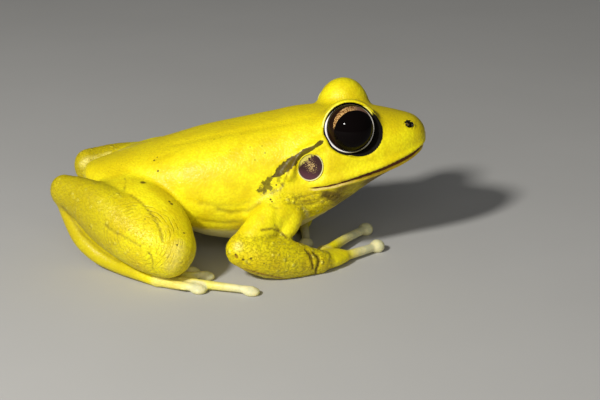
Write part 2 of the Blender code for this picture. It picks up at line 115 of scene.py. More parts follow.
def trunk_level(p):
    """How far out a point is in its upright section, 1 on the skin: the root of |y / w|^n + |z / v|^n."""
    half, side, top, under = (np.interp(p[:, 0], TRUNK_ROWS[:, 0], TRUNK_ROWS[:, k]) for k in range(1, 5))
    above = p[:, 2] > side
    power = np.where(above, CROWN_FULLNESS, BELLY_FULLNESS)
    reach = np.where(above, top - side, side - under)
    across = np.abs(p[:, 1]) / half + 1e-6
    high = np.abs(p[:, 2] - side) / reach + 1e-6
    level = (across**power + high**power) ** (1.0 / power)
    return level, np.hypot((across / level) ** (power - 1) / half, (high / level) ** (power - 1) / reach)


def trunk(p):
    """Distance from the trunk: the level less 1, over its slope in three directions, round at both tips."""
    level, slope = trunk_level(p)
    step = np.array([SLOPE_STEP, 0.0, 0.0])
    slope_x = (trunk_level(p + step)[0] - trunk_level(p - step)[0]) / (2 * SLOPE_STEP)
    distance = (level - 1.0) / np.hypot(slope, slope_x)
    distance = -blend(-distance, SNOUT_TIP - p[:, 0], SNOUT_ROUNDING)
    return -blend(-distance, p[:, 0] - VENT_TIP, VENT_ROUNDING)


# Eyelids
# Each eye sits under a dome of skin that covers its top and back, open on the outer side with a rounded
# edge. In front of the eye the dome ends in a shallow hollow.

EYE_CENTRE = {-1: np.array([13.45, -4.15, 16.7]), 1: np.array([12.85, 4.15, 17.1])}
LID_RADII = {-1: np.array([3.4, 2.7, 3.4]), 1: np.array([3.15, 2.7, 3.6])}
EYE_RADIUS = 2.85
EYE_CLEARANCE = 0.05
LID_AIM = (0.03, 0.94, 0.33)
LID_SHIFT = (0.0, -0.75, -0.1)
LID_OUTER_REACH = 3.8
LID_FILLET = 1.0
LID_OPENING = {-1: 3.12, 1: 2.96}
LID_OPENING_SHIFT = (-0.06, -0.10)
LID_EDGE_OUT = 0.45
LID_EDGE_ROUNDING = 0.35
LID_CORNER_ROUNDING = 0.3
ORBIT_SHIFT = (1.05, -0.5)
ORBIT_RADII = (2.85, 1.1)
ORBIT_OUT = 0.6
ORBIT_ROUNDING = 0.5


def unit(v):
    return np.array(v, float) / np.linalg.norm(v)


def mirrored(v, side):
    return np.array([v[0], side * v[1], v[2]], float)


def facing_axes(aim, side):
    """A direction given for the left, put on either side, with forward and up square to it and each other."""
    aim = unit(mirrored(aim, side))
    forward = unit(np.array([1.0, 0.0, 0.0]) - aim[0] * aim)
    up = np.cross(aim, forward)
    return aim, forward, up * np.sign(up[2])


def ball(p, centre, radii):
    """Distance from an ellipsoid: the offset's length, less its length to the surface the same way."""
    off = p - centre
    level = np.linalg.norm(off / radii, axis=1) + 1e-6
    return np.linalg.norm(off, axis=1) * (1.0 - 1.0 / level)


def round_eye(p, side):
    """How far points lie from an eye's centre: outward, from the middle of the lid's opening and of the
    hollow, and in a straight line."""
    off = p - EYE_CENTRE[side]
    out, ahead, high = (off @ axis for axis in facing_axes(LID_AIM, side))
    opening = np.hypot(ahead - LID_OPENING_SHIFT[0], high - LID_OPENING_SHIFT[1])
    orbit = np.hypot(ahead - ORBIT_SHIFT[0], high - ORBIT_SHIFT[1])
    return out, opening, orbit, np.linalg.norm(off, axis=1)


def with_lid(p, distance, side):
    """Adds the lid's dome, longer outward than inward, and opens it round the ball with a round hole set a
    little back and down. A flat ellipsoid in front of the eye makes the hollow."""
    middle = EYE_CENTRE[side] + mirrored(LID_SHIFT, side)
    radii = np.tile(LID_RADII[side], (len(p), 1))
    radii[:, 1] = np.where(side * (p[:, 1] - middle[1]) > 0, LID_OUTER_REACH, radii[:, 1])
    distance = blend(distance, ball(p, middle, radii), LID_FILLET)
    out, opening, orbit, from_centre = round_eye(p, side)
    opening = -blend(out - LID_EDGE_OUT, LID_OPENING[side] - opening, LID_CORNER_ROUNDING)
    distance = cut(distance, opening, LID_EDGE_ROUNDING)
    level = np.hypot(orbit / ORBIT_RADII[0], (out - ORBIT_OUT) / ORBIT_RADII[1]) + 1e-6
    distance = cut(distance, np.hypot(orbit, out - ORBIT_OUT) * (1.0 - 1.0 / level), ORBIT_ROUNDING)
    return np.maximum(distance, EYE_RADIUS + EYE_CLEARANCE - from_centre)


# Arms
# The upper arm leaves the shoulder and the forearm lies on the floor, turned in to a hand of four
# fingers with round pads. The right hand reaches forward and the left one is turned in under the chest.

# x, y outward, z, half width and half height
RIGHT_ARM = {
    "upper": [(6.2, 4.4, 8.4, 2.5, 2.6), (4.5, 6.8, 6.9, 2.25, 2.4), (2.6, 8.9, 5.3, 1.95, 2.05),
              (0.8, 10.3, 4.0, 1.6, 1.7)],
    "fore": [(0.7, 10.7, 3.7, 1.7, 1.75), (2.8, 10.3, 3.0, 2.15, 2.3), (5.4, 9.4, 2.3, 2.25, 2.45),
             (8.0, 8.6, 1.7, 1.75, 1.85), (9.8, 7.9, 1.3, 1.3, 1.3)],
    "palm": [(9.6, 7.8, 1.25, 1.25, 1.15), (11.0, 6.2, 1.0, 1.8, 1.0), (12.1, 5.1, 0.9, 1.55, 0.85)],
    "fingers": [
        [(11.8, 5.9, 0.9), (14.2, 4.0, 0.85), (17.0, 1.3, 0.65)],
        [(10.5, 4.3, 1.05), (13.05, 0.2, 1.15), (15.8, -4.4, 0.75)],
        [(10.9, 5.4, 0.8), (10.7, 4.3, 0.65), (10.4, 3.3, 0.65)],
        [(10.3, 6.0, 0.8), (9.5, 4.9, 0.65), (8.6, 4.1, 0.65)],
    ],
}
LEFT_ARM = {
    "upper": [(5.0, 4.4, 8.3, 2.5, 2.6), (2.9, 6.9, 6.9, 2.25, 2.4), (0.7, 9.2, 5.3, 1.95, 2.05),
              (-1.3, 10.7, 4.1, 1.6, 1.7)],
    "fore": [(-1.4, 11.1, 3.8, 1.7, 1.75), (0.6, 10.7, 3.1, 2.15, 2.3), (3.1, 9.9, 2.35, 2.25, 2.45),
             (5.7, 9.1, 1.75, 1.75, 1.85), (7.4, 8.5, 1.3, 1.3, 1.3)],
    "palm": [(7.1, 8.5, 1.2, 1.2, 1.1), (7.6, 7.4, 0.95, 1.5, 1.0), (7.6, 6.4, 0.85, 1.35, 0.85)],
    "fingers": [
        [(7.9, 6.4, 0.85), (8.2, 3.2, 0.8), (8.3, -0.6, 0.65)],
        [(7.3, 6.6, 0.85), (6.0, 3.8, 0.8), (4.5, 0.6, 0.65)],
        [(6.9, 6.8, 0.8), (5.1, 5.0, 0.65), (3.4, 3.2, 0.65)],
        [(6.6, 7.2, 0.8), (5.3, 6.5, 0.65), (3.9, 5.9, 0.65)],
    ],
}
CHEST_FOLD = [
    (5.3, 7.3, 7.5, 1.25, 1.3), (6.45, 6.9, 6.65, 1.4, 1.4), (6.2, 7.8, 5.6, 1.1, 1.15),
    (5.75, 8.6, 4.85, 0.7, 0.75),
]
FINGER_RADII = (0.64, 0.47)
FINGER_PAD = np.array([0.92, 0.92, 0.80])
PAD_SUNK = 0.12
PAD_FILLET = 0.35
FINGER_FILLET = 0.45
WRIST_FILLET = 0.8
CHEST_FOLD_FILLET = 0.6
ELBOW_REACH = 2.4
ELBOW_FILLET = 0.9
FOREARM_FILLET = 0.25
ARM_FILLET = 1.3


def sided(table, side):
    """A table whose second column points outward, put on the left (side 1) or the right (side -1)."""
    rows = np.array(table, float)
    rows[:, 1] *= side
    return rows


def bell(p, place, reach):
    """1 at a place, falling as a bell curve over reach round it."""
    return np.exp(-((np.linalg.norm(p - place, axis=1) / reach) ** 2))


def limb(p, table, steps=20, near=2.6):
    """Distance from a limb of oval section carried along its stations: over each short step, the offset's
    length from the nearest point of the path, less its length to the oval in the same direction."""
    rows = smooth_rows(table, steps + 1)
    centre, half = rows[:, :3], rows[:, 3:5]
    margin = half.max() + near
    here = np.flatnonzero(((p > centre.min(0) - margin) & (p < centre.max(0) + margin)).all(1))
    result = np.full(len(p), FAR)
    best = np.full(len(here), FAR)
    for i in range(steps):
        step = centre[i + 1] - centre[i]
        along = unit(step)
        across = unit(np.cross(along, (0.0, 0.0, 1.0)))
        t = np.clip((p[here] - centre[i]) @ step / (step @ step), 0.0, 1.0)
        off = p[here] - centre[i] - t[:, None] * step
        wide, tall = (half[i, k] + t * (half[i + 1, k] - half[i, k]) for k in (0, 1))
        level = (off @ across / wide) ** 2 + (off @ np.cross(across, along) / tall) ** 2
        level = np.maximum(np.sqrt(level + (2 * (off @ along) / (wide + tall)) ** 2), 1e-6)
        best = np.minimum(best, np.linalg.norm(off, axis=1) * (1.0 - 1.0 / level))
    result[here] = best
    return result


def digit(p, path, side, radii, pad):
    """A finger or toe that tapers along its path, with the round pad at its tip."""
    path = sided(path, side)
    thickness = np.array([radii[0], (radii[0] + radii[1]) / 2, radii[1]])
    tip = ball(p, (path[2][0], path[2][1], pad[2] - PAD_SUNK), pad)
    return blend(limb(p, np.c_[path, thickness, thickness], steps=8, near=1.6), tip, PAD_FILLET)


def arm(p, parts, side):
    """The whole arm: upper arm and forearm, soft at the elbow, the fold at the chest, palm and fingers."""
    fore = sided(parts["fore"], side)
    elbow = bell(p, fore[0, :3], ELBOW_REACH)
    whole = blend(limb(p, sided(parts["upper"], side)), limb(p, fore), FOREARM_FILLET + ELBOW_FILLET * elbow)
    if parts is RIGHT_ARM:
        whole = blend(whole, limb(p, sided(CHEST_FOLD, side), 12), CHEST_FOLD_FILLET)
    hand = limb(p, sided(parts["palm"], side), 8)
    for path in parts["fingers"]:
        hand = blend(hand, digit(p, path, side, FINGER_RADII, FINGER_PAD), FINGER_FILLET)
    return blend(whole, hand, WRIST_FILLET)


# Legs
# Each hind leg is folded: thigh out and forward to the knee, shank back against it to the heel, and the
# foot forward again under both, with five toes and a little web between their roots.

# The same columns as for the arms
THIGH = [
    (-15.2, 2.6, 8.5, 2.2, 2.2), (-12.8, 5.3, 8.2, 3.0, 2.9), (-10.2, 7.9, 7.5, 3.2, 3.2),
    (-8.0, 10.2, 6.3, 2.9, 2.9), (-6.9, 11.7, 5.0, 2.3, 2.5),
]
SHANK = [
    (-7.6, 13.2, 4.2, 2.2, 2.6), (-9.2, 12.5, 4.7, 2.6, 3.05), (-11.7, 10.9, 5.7, 2.8, 3.45),
    (-14.7, 8.8, 7.1, 2.7, 3.5), (-17.8, 6.4, 8.5, 2.15, 2.7), (-20.4, 4.8, 9.3, 1.6, 1.8),
]
FOOT = [
    (-20.4, 4.5, 8.3, 1.25, 1.3), (-19.5, 5.0, 5.8, 1.2, 1.3), (-18.3, 5.7, 3.4, 1.2, 1.25),
    (-16.5, 6.6, 1.9, 1.25, 1.2), (-14.0, 8.0, 1.15, 1.35, 1.1), (-11.6, 9.8, 1.0, 1.5, 1.0),
    (-8.8, 11.6, 0.8, 1.6, 0.9),
]
TOES = [
    [(-8.9, 12.4, 0.75), (-6.6, 13.5, 0.65), (-4.1, 14.3, 0.6)],
    [(-8.7, 11.9, 0.75), (-3.6, 13.4, 0.7), (2.0, 14.9, 0.6)],
    [(-8.7, 11.2, 0.75), (-5.8, 11.0, 0.65), (-3.4, 10.3, 0.6)],
    [(-9.2, 10.8, 0.75), (-7.0, 10.0, 0.65), (-5.1, 9.0, 0.6)],
    [(-9.9, 10.2, 0.75), (-8.8, 8.9, 0.65), (-7.9, 7.7, 0.6)],
]
TOE_RADII = (0.62, 0.45)
TOE_PAD = np.array([0.98, 0.84, 0.50])
WEB_HEIGHT = 0.5
WEB_HALF_THICKNESS = 0.24
LEFT_LEG_SHIFT = np.array([1.7, 0.0, 0.0])
LEFT_THIGH_RISE = 1.0
HIP_FILLET = 0.8
THIGH_FILLET = 2.0
KNEE_FILLET = 0.4
KNEE_REACH = 3.0
FOLD_FILLET = 0.2
HEEL_FILLET = 1.2
HEEL_REACH = 2.4
TOE_FILLET = 0.4
WEB_FILLET = 0.25


def web(p, one, two, side):
    """The skin between two toes: a flat wedge that widens from their roots to half way along the shorter."""
    a, b = sided(one, side), sided(two, side)
    root, tip = (a[0] + b[0]) / 2, (a[0] + a[2] + b[0] + b[2]) / 4
    width = np.linalg.norm(a[0] + a[2] - b[0] - b[2]) / 4
    rows = [(*(root + (tip - root) * share)[:2], WEB_HEIGHT, half, WEB_HALF_THICKNESS)
            for share, half in ((0.0, 0.5), (0.5, 0.25 + width * 0.55), (0.85, width * 0.9))]
    return limb(p, rows, 6, 1.4)


def leg(p, side):
    """The whole leg: thigh and shank pressed to one mass, the foot sharp against it, soft round the heel."""
    thigh, shank = sided(THIGH, side), sided(SHANK, side)
    if side > 0:
        p = p - LEFT_LEG_SHIFT
        thigh[:, 2] += LEFT_THIGH_RISE
    knee = THIGH_FILLET + KNEE_FILLET * bell(p, shank[0, :3], KNEE_REACH)
    whole = blend(limb(p, thigh), limb(p, shank, 24), knee)
    foot = limb(p, sided(FOOT, side), 24)
    for path in TOES:
        foot = blend(foot, digit(p, path, side, TOE_RADII, TOE_PAD), TOE_FILLET)
    for one, two in zip(TOES, TOES[1:]):
        foot = blend(foot, web(p, one, two, side), WEB_FILLET)
    return blend(whole, foot, FOLD_FILLET + HEEL_FILLET * bell(p, shank[-1, :3], HEEL_REACH))


# Face
# Small forms of the head's skin: the edge of the upper lip, a fold from the eye over the eardrum to the
# shoulder, the nostrils and a shallow ringed pocket for each eardrum.

UPPER_LIP = [
    (10.4, 6.75, 11.1, 0.35, 0.4), (13.5, 6.25, 11.65, 0.4, 0.45), (17.6, 4.95, 12.6, 0.4, 0.45),
    (20.4, 3.15, 13.2, 0.35, 0.4), (21.8, 1.4, 13.9, 0.35, 0.35),
]
EAR_FOLD = [
    (10.2, 5.55, 15.4, 0.35, 0.35), (9.3, 6.0, 15.0, 0.45, 0.45), (7.4, 6.5, 13.6, 0.5, 0.5),
    (6.3, 6.9, 11.8, 0.5, 0.5),
]
NOSTRIL = {-1: (20.57, -2.03, 16.54), 1: (20.57, 2.4, 16.15)}
NOSTRIL_AIM = (0.42, 0.61, 0.77)
NOSTRIL_RADII = (0.66, 0.50)
NOSTRIL_DEPTH = 0.42
NOSTRIL_RIM = 0.08
NOSTRIL_LOBE = 0.24
DRUM_CENTRE = (8.78, 6.83, 12.75)
DRUM_AIM = (-0.05, 0.985, 0.12)
DRUM_RADII = (1.42, 1.58)
DRUM_LEAN = math.radians(14)
DRUM_POCKET = 0.5
DRUM_DISH_OUT = 0.95
LIP_FILLET = 0.5
EAR_FOLD_FILLET = 0.9


def drum_axes(side):
    """The way an eardrum faces, and the directions of its short and long axes, the long one leaning on."""
    aim, forward, up = facing_axes(DRUM_AIM, side)
    short = math.cos(DRUM_LEAN) * forward - math.sin(DRUM_LEAN) * up
    return aim, short, math.sin(DRUM_LEAN) * forward + math.cos(DRUM_LEAN) * up


def round_nostril(p, side):
    """Offset from a nostril, its three axes, and how far out points lie in its oval, 1 on the edge."""
    aim, forward, up = facing_axes(NOSTRIL_AIM, side)
    off = p - NOSTRIL[side]
    return off, aim, forward, up, np.hypot(off @ forward / NOSTRIL_RADII[0], off @ up / NOSTRIL_RADII[1])


def with_face(p, distance, side):
    """Adds the lip's edge and the ear fold, and sinks the nostril, with the lobe in it, and the pocket."""
    distance = blend(distance, limb(p, sided(UPPER_LIP, side), 12, 1.0), LIP_FILLET)
    distance = blend(distance, limb(p, sided(EAR_FOLD, side), 10, 1.2), EAR_FOLD_FILLET)
    off, aim, forward, up, wide = round_nostril(p, side)
    level = np.hypot(wide, off @ aim / NOSTRIL_DEPTH) + 1e-6
    pit = np.linalg.norm(off, axis=1) * (1.0 - 1.0 / level)
    distance = cut(blend(distance, pit - NOSTRIL_RIM, 0.2), pit, 0.12)
    lobe = np.linalg.norm(off + 0.15 * forward + 0.25 * aim, axis=1) - NOSTRIL_LOBE
    distance = blend(distance, lobe, 0.08)
    aim, short, long = drum_axes(side)
    off = p - mirrored(DRUM_CENTRE, side)
    out = off @ aim
    across = (np.hypot(off @ short / DRUM_RADII[0], off @ long / DRUM_RADII[1]) - 1.0) * DRUM_RADII[0]
    distance = cut(distance, np.maximum(across - 0.25, np.abs(out - DRUM_DISH_OUT) - DRUM_DISH_OUT), 0.5)
    return cut(distance, np.maximum(across - 0.03, np.abs(out - 1.0 + DRUM_POCKET) - 1.0), 0.08)


# Skin
# One unbroken skin lies over all of these forms. It is grown as the surface at distance 0 from the
# blended forms, then folded, creased and set with warts, and it carries the frog's markings and painted
# shade and highlights.

def frog(p):
    """Distance from the whole frog, flat where it rests on the floor."""
    distance = trunk(p)
    for side in SIDES:
        distance = with_face(p, with_lid(p, distance, side), side)
    for side in SIDES:
        distance = blend(distance, arm(p, arm_parts(side), side), ARM_FILLET)
    for side in SIDES:
        distance = blend(distance, leg(p, side), HIP_FILLET)
    return np.maximum(distance, -p[:, 2])


def arm_parts(side):
    return RIGHT_ARM if side < 0 else LEFT_ARM


def carried(value, coarse, fine, axis):
    """Values on coarse grid lines carried in a straight line to the finer lines between them."""
    low = np.clip(np.searchsorted(coarse, fine, side="right") - 1, 0, len(coarse) - 2)
    t = (fine - coarse[low]) / (coarse[low + 1] - coarse[low])
    t = t.reshape([-1 if k == axis else 1 for k in range(3)])
    return value.take(low, axis) * (1 - t) + value.take(low + 1, axis) * t


def grid_points(axes):
    return np.stack(np.meshgrid(*axes, indexing="ij"), axis=-1).reshape(-1, 3)


def grid_values(distance, axes, stride=4, band=1.1):
    """Distance on a box grid: worked out on every fourth line, carried between them, and then worked out
    exactly wherever the surface is nearer than band."""
    coarse = [np.unique(np.append(a[::stride], a[-1])) for a in axes]
    value = distance(grid_points(coarse)).reshape([len(a) for a in coarse])
    for axis in range(3):
        value = carried(value, coarse[axis], axes[axis], axis)
    value = value.ravel()
    near = np.flatnonzero(np.abs(value) < band)
    value[near] = distance(grid_points(axes)[near])
    return value.reshape([len(a) for a in axes])


def grown_surface(distance, axes):
    """Closed quads where distance is 0 on a box grid: one point in each cell that the surface crosses, at
    the mean of the crossings on the cell's edges, and one face round each grid edge that it crosses."""
    value = grid_values(distance, axes)
    shape = value.shape
    cells = tuple(n - 1 for n in shape)
    total = np.zeros((cells[0] * cells[1] * cells[2], 4))
    quads = []
    for axis in range(3):
        one = value[tuple(slice(None, -1) if k == axis else slice(None) for k in range(3))]
        two = value[tuple(slice(1, None) if k == axis else slice(None) for k in range(3))]
        at = np.array(np.nonzero((one < 0) != (two < 0)))
        others = [(axis + 1) % 3, (axis + 2) % 3]
        at = at[:, np.all([(at[k] > 0) & (at[k] < shape[k] - 1) for k in others], axis=0)]
        a, b = one[tuple(at)], two[tuple(at)]
        place = np.stack([axes[k][at[k]] for k in range(3)], axis=1)
        place[:, axis] += a / (a - b) * (axes[axis][at[axis] + 1] - axes[axis][at[axis]])
        around = []
        for u, v in ((1, 1), (0, 1), (0, 0), (1, 0)):
            cell = at.copy()
            cell[others[0]] -= u
            cell[others[1]] -= v
            index = np.ravel_multi_index(tuple(cell), cells)
            around.append(index)
            for k in range(3):
                total[:, k] += np.bincount(index, place[:, k], len(total))
            total[:, 3] += np.bincount(index, minlength=len(total))
        face = np.stack(around, axis=1)
        quads.append(np.where((a < 0)[:, None], face, face[:, ::-1]))
    used = np.flatnonzero(total[:, 3])
    number = np.zeros(len(total), np.int64)
    number[used] = np.arange(len(used))
    return total[used, :3] / total[used, 3:], number[np.concatenate(quads)]


def slope_of(distance, p, step=0.03):
    """Distance at each point and the direction in which it grows, from four points round it."""
    corners = np.array([(1, 1, 1), (1, -1, -1), (-1, 1, -1), (-1, -1, 1)], float)
    values = [distance(p + step * c) for c in corners]
    slope = sum(v[:, None] * c for v, c in zip(values, corners))
    return sum(values) / 4, slope / (np.linalg.norm(slope, axis=1)[:, None] + 1e-9)


def neighbour_mean(points, faces):
    """Each point's mean over the points that share a face edge with it."""
    total = np.zeros_like(points)
    for j in range(4):
        for k in range(3):
            step = points[faces[:, (j + 1) % 4], k] + points[faces[:, (j + 3) % 4], k]
            total[:, k] += np.bincount(faces[:, j], step, len(points))
    return total / (2 * np.bincount(faces.ravel(), minlength=len(points))[:, None])


def face_normals(points, faces):
    """Outward direction at each point, from the diagonals of the faces round it."""
    a, b, c, d = (points[faces[:, k]] for k in range(4))
    normal = np.repeat(np.cross(c - a, d - b), 4, axis=0)
    total = np.stack([np.bincount(faces.ravel(), normal[:, k], len(points)) for k in range(3)], axis=1)
    return total / (np.linalg.norm(total, axis=1)[:, None] + 1e-12)


def spaced(*stops):
    """Grid lines from the first stop to the last: each but the last is a place and the spacing after it."""
    runs = []
    for (low, step), high in zip(stops, [stop[0] for stop in stops[1:-1]] + [stops[-1]]):
        runs.append(np.linspace(low, high, int(round((high - low) / step)) + 1)[:-1])
    return np.append(np.concatenate(runs), stops[-1])


SKIN_AXES = [spaced((-22.9, 0.30), (-2.0, 0.24), (6.8, 0.18), 22.9),
             spaced((-16.4, 0.26), (-7.4, 0.24), (7.4, 0.34), 16.4),
             spaced((-0.4, 0.22), (5.0, 0.29), (11.6, 0.17), 20.9)]

rest, skin_faces = grown_surface(frog, SKIN_AXES)
for settling in range(3):
    rest = rest + 0.5 * (neighbour_mean(rest, skin_faces) - rest)
    gap, out = slope_of(frog, rest)
    rest = rest - gap[:, None] * out

# Folds, creases and warts
# What shapes the skin more finely than the forms: folds and creases along lines, and warts on the
# forearms, knees and shanks.

# How deep, how wide and how dark each line is, its dark being painted shade along the crease, and where it
# runs on the right side
FOLDS = {
    "body": [
        (0.1, 0.42, 0.0, [(10.2, 6.1, 15.6), (8.34, 6.67, 14.76), (7.3, 6.78, 14.12), (6.0, 6.58, 13.22),
         (4.7, 6.82, 12.07), (3.66, 7.03, 11.18)]),
        (-0.09, 0.28, 0.0, [(9.8, 6.1, 15.7), (9.19, 6.32, 15.39), (8.14, 6.3, 14.98), (7.21, 6.17, 14.5),
         (6.16, 6.23, 13.88), (5.0, 6.4, 12.9)]),
        (-0.12, 0.26, 0.0, [(7.1, 7.2, 13.4), (6.55, 7.2, 12.4), (6.15, 7.25, 11.6), (5.75, 7.0, 10.7),
         (5.3, 7.27, 9.9), (4.8, 7.66, 9.3)]),
        (0.08, 0.2, 0.55, [(6.28, 7.2, 12.49), (5.92, 7.31, 11.72), (5.57, 6.99, 10.74),
         (5.16, 7.27, 9.97)]),
        (0.14, 0.45, 0.4, [(-2.1, 7.56, 7.78), (-0.44, 7.38, 7.28), (1.42, 7.42, 7.57), (2.75, 7.7, 8.55)]),
        (0.1, 0.4, 0.25, [(-4.17, 7.6, 8.6), (-2.41, 7.6, 8.36), (-0.07, 7.5, 8.18), (1.69, 7.4, 8.76)]),
        (0.1, 0.35, 0.2, [(-4.6, 7.0, 6.4), (-3.9, 6.9, 6.01), (-1.32, 6.8, 5.64), (0.6, 6.8, 5.9)]),
        (0.13, 0.24, 0.5, [(11.0, 6.3, 8.6), (10.39, 6.5, 8.44), (8.98, 6.57, 8.03), (7.56, 7.04, 8.26),
         (6.15, 7.81, 8.6), (4.44, 8.2, 8.71)]),
        (0.11, 0.2, 0.5, [(11.09, 6.64, 9.12), (9.68, 6.78, 8.73), (8.27, 6.84, 8.56), (7.09, 7.22, 8.83)]),
        (0.09, 0.18, 0.45, [(10.14, 6.99, 9.68), (9.09, 6.98, 9.36), (7.91, 6.94, 9.1),
         (6.74, 7.32, 9.11)]),
        (0.12, 0.26, 0.35, [(8.6, 6.7, 7.5), (7.56, 6.94, 7.6), (6.15, 8.08, 7.96), (4.76, 8.62, 8.34),
         (4.05, 8.39, 8.63)]),
        (0.08, 0.55, 0.1, [(9.0, 3.0, 17.6), (6.37, 3.2, 17.0), (3.04, 3.1, 16.5), (-0.5, 3.1, 15.7),
         (-4.83, 2.8, 14.8), (-8.0, 2.4, 13.9)]),
        (0.05, 0.35, 0.14, [(-9.72, 4.22, 12.77), (-8.42, 4.01, 13.33), (-7.23, 3.85, 13.77),
         (-6.05, 3.68, 14.22)]),
    ],
    "arm": [
        (0.16, 0.19, 0.68, [(3.14, 10.51, 6.32), (3.72, 10.25, 6.34), (4.41, 9.91, 6.21),
         (4.99, 9.43, 5.78), (5.45, 9.16, 5.36), (5.8, 9.31, 5.04), (6.04, 9.39, 4.82)]),
        (0.08, 0.15, 0.6, [(4.64, 9.64, 6.61), (4.99, 9.46, 6.04), (5.34, 9.13, 5.54)]),
        (0.1, 0.35, 0.22, [(4.76, 8.97, 7.85), (4.64, 9.44, 7.15), (4.76, 9.6, 6.47)]),
        (0.18, 0.18, 0.95, [(8.62, 9.56, 3.19), (8.97, 9.69, 2.73), (8.97, 9.92, 2.32), (9.09, 9.97, 1.71),
         (9.09, 9.88, 1.16)]),
        (0.24, 0.2, 1.05, [(9.09, 9.15, 3.03), (9.68, 9.13, 2.51), (9.85, 9.33, 2.08), (9.74, 9.53, 1.53),
         (9.5, 9.54, 0.9), (9.39, 9.0, 0.2)]),
        (0.15, 0.16, 0.85, [(8.15, 9.52, 3.55), (8.62, 9.76, 3.01), (8.79, 9.99, 2.48)]),
    ],
    "leg": [
        (0.12, 0.45, 0.18, [(-14.44, 7.4, 10.76), (-13.15, 8.62, 10.57), (-11.91, 9.63, 10.26)]),
        (0.1, 0.25, 0.5, [(-12.2, 9.35, 10.35), (-11.91, 9.63, 10.26), (-10.67, 10.75, 9.74),
         (-9.67, 11.9, 9.06), (-8.93, 12.83, 8.37), (-8.48, 13.72, 7.67), (-8.23, 14.22, 7.13),
         (-8.15, 14.67, 6.57)]),
        (0.07, 0.22, 0.42, [(-15.02, 11.84, 7.57), (-14.29, 12.41, 7.17), (-13.32, 13.04, 6.86),
         (-12.24, 13.66, 6.54), (-11.4, 14.17, 6.19), (-10.69, 14.59, 5.87)]),
        (0.09, 0.16, 0.55, [(-9.76, 14.95, 5.46), (-9.42, 15.11, 4.91), (-9.21, 15.16, 4.19),
         (-9.26, 14.84, 3.2)]),
        (0.05, 0.16, 0.5, [(-13.06, 5.77, 11.06), (-12.95, 7.3, 10.95), (-12.81, 8.62, 10.57)]),
        (0.07, 0.28, 0.4, [(-20.59, 6.22, 7.58), (-19.71, 6.13, 6.41), (-18.55, 6.56, 4.67),
         (-17.37, 6.89, 3.53), (-15.53, 7.89, 2.4), (-13.63, 9.37, 1.85)]),
    ],
}
LEFT_PART_SHIFT = {"body": np.zeros(3), "arm": np.array([-2.2, 0.5, 0.0]), "leg": LEFT_LEG_SHIFT}
WART_HEIGHT = 0.11
FOREARM_WRINKLES, KNEE_WRINKLES, SHANK_WRINKLES, THROAT_WRINKLES = 0.06, 0.04, 0.015, 0.07


def placed(path, part, side):
    """Marks given for the right side with y outward, put on either side."""
    path = np.array(path, float)
    if side > 0:
        path[:, :3] += LEFT_PART_SHIFT[part]
    path[:, 1] *= side
    return path


def line_gap(p, path, widths=None):
    """Distance from the nearest point of a broken line, over the line's own half width there if given."""
    best = np.full(len(p), FAR)
    for i in range(len(path) - 1):
        step = path[i + 1] - path[i]
        t = np.clip((p - path[i]) @ step / (step @ step), 0.0, 1.0)
        gap = np.linalg.norm(p - path[i] - t[:, None] * step, axis=1)
        if widths is not None:
            gap = gap / (widths[i] + t * (widths[i + 1] - widths[i]))
        best = np.minimum(best, gap)
    return best


def hashed(cell, salt):
    """A steady pseudo-random number from 0 to 1 for each whole-numbered cell."""
    return np.modf(np.abs(np.sin(cell @ np.array([127.1, 311.7, 74.7]) + salt * 17.3)) * 43758.5453)[0]


def soft_noise(p, size, salt):
    """Smooth noise from -1 to 1: a random value at each corner of a grid of cells, eased between them."""
    low = np.floor(p / size)
    t = p / size - low
    t = t * t * (3 - 2 * t)
    total = 0.0
    for corner in np.ndindex(2, 2, 2):
        total = total + np.abs(1 - np.array(corner) - t).prod(axis=1) * hashed(low + corner, salt)
    return total * 2 - 1


def warts(p, spacing, radius, salt):
    """Round bumps from 0 to 1, one at a random place in each cell, on random cells and of random height."""
    low = np.floor(p / spacing)
    best = np.zeros(len(p))
    for corner in np.ndindex(3, 3, 3):
        cell = low + np.array(corner) - 1
        place = (cell + np.stack([hashed(cell, salt + n) for n in range(3)], axis=1)) * spacing
        gap = np.linalg.norm(p - place, axis=1) / radius
        best = np.maximum(best, np.clip(1 - gap * gap, 0, 1) ** 2 * (0.4 + 0.6 * hashed(cell, salt + 5)))
    return best


def eased(value, low, high):
    """0 below low and 1 above high, with a smooth S between them."""
    t = np.clip((value - low) / (high - low), 0.0, 1.0)
    return t * t * (3 - 2 * t)


def on_leg(rows, side):
    rows = sided(rows, side)
    rows[:, :3] += (side > 0) * LEFT_LEG_SHIFT
    return rows


def near_limb(rows, low, high):
    """1 on both limbs with these rows, one for each side, falling to 0 from low to high away from them."""
    return np.max([1 - eased(limb(rest, row), low, high) for row in rows], axis=0)


out = face_normals(rest, skin_faces)
lift = np.zeros(len(rest))
# crease: painted shade along each fold and crease line, as dark as the line's dark share
crease = np.full(len(rest), -1.0)
for side in SIDES:
    for part, lines in FOLDS.items():
        for depth, width, dark, path in lines:
            path = placed(path, part, side)
            gap = line_gap(rest, path)
            ends = 1.0 - 0.6 * eased(np.linalg.norm(rest - path[-1], axis=1), 1.0, 0.0)
            lift -= depth * ends * np.exp(-((gap / width) ** 2))
            crease = np.maximum(crease, dark * (1.15 - gap / (1.1 * width)))

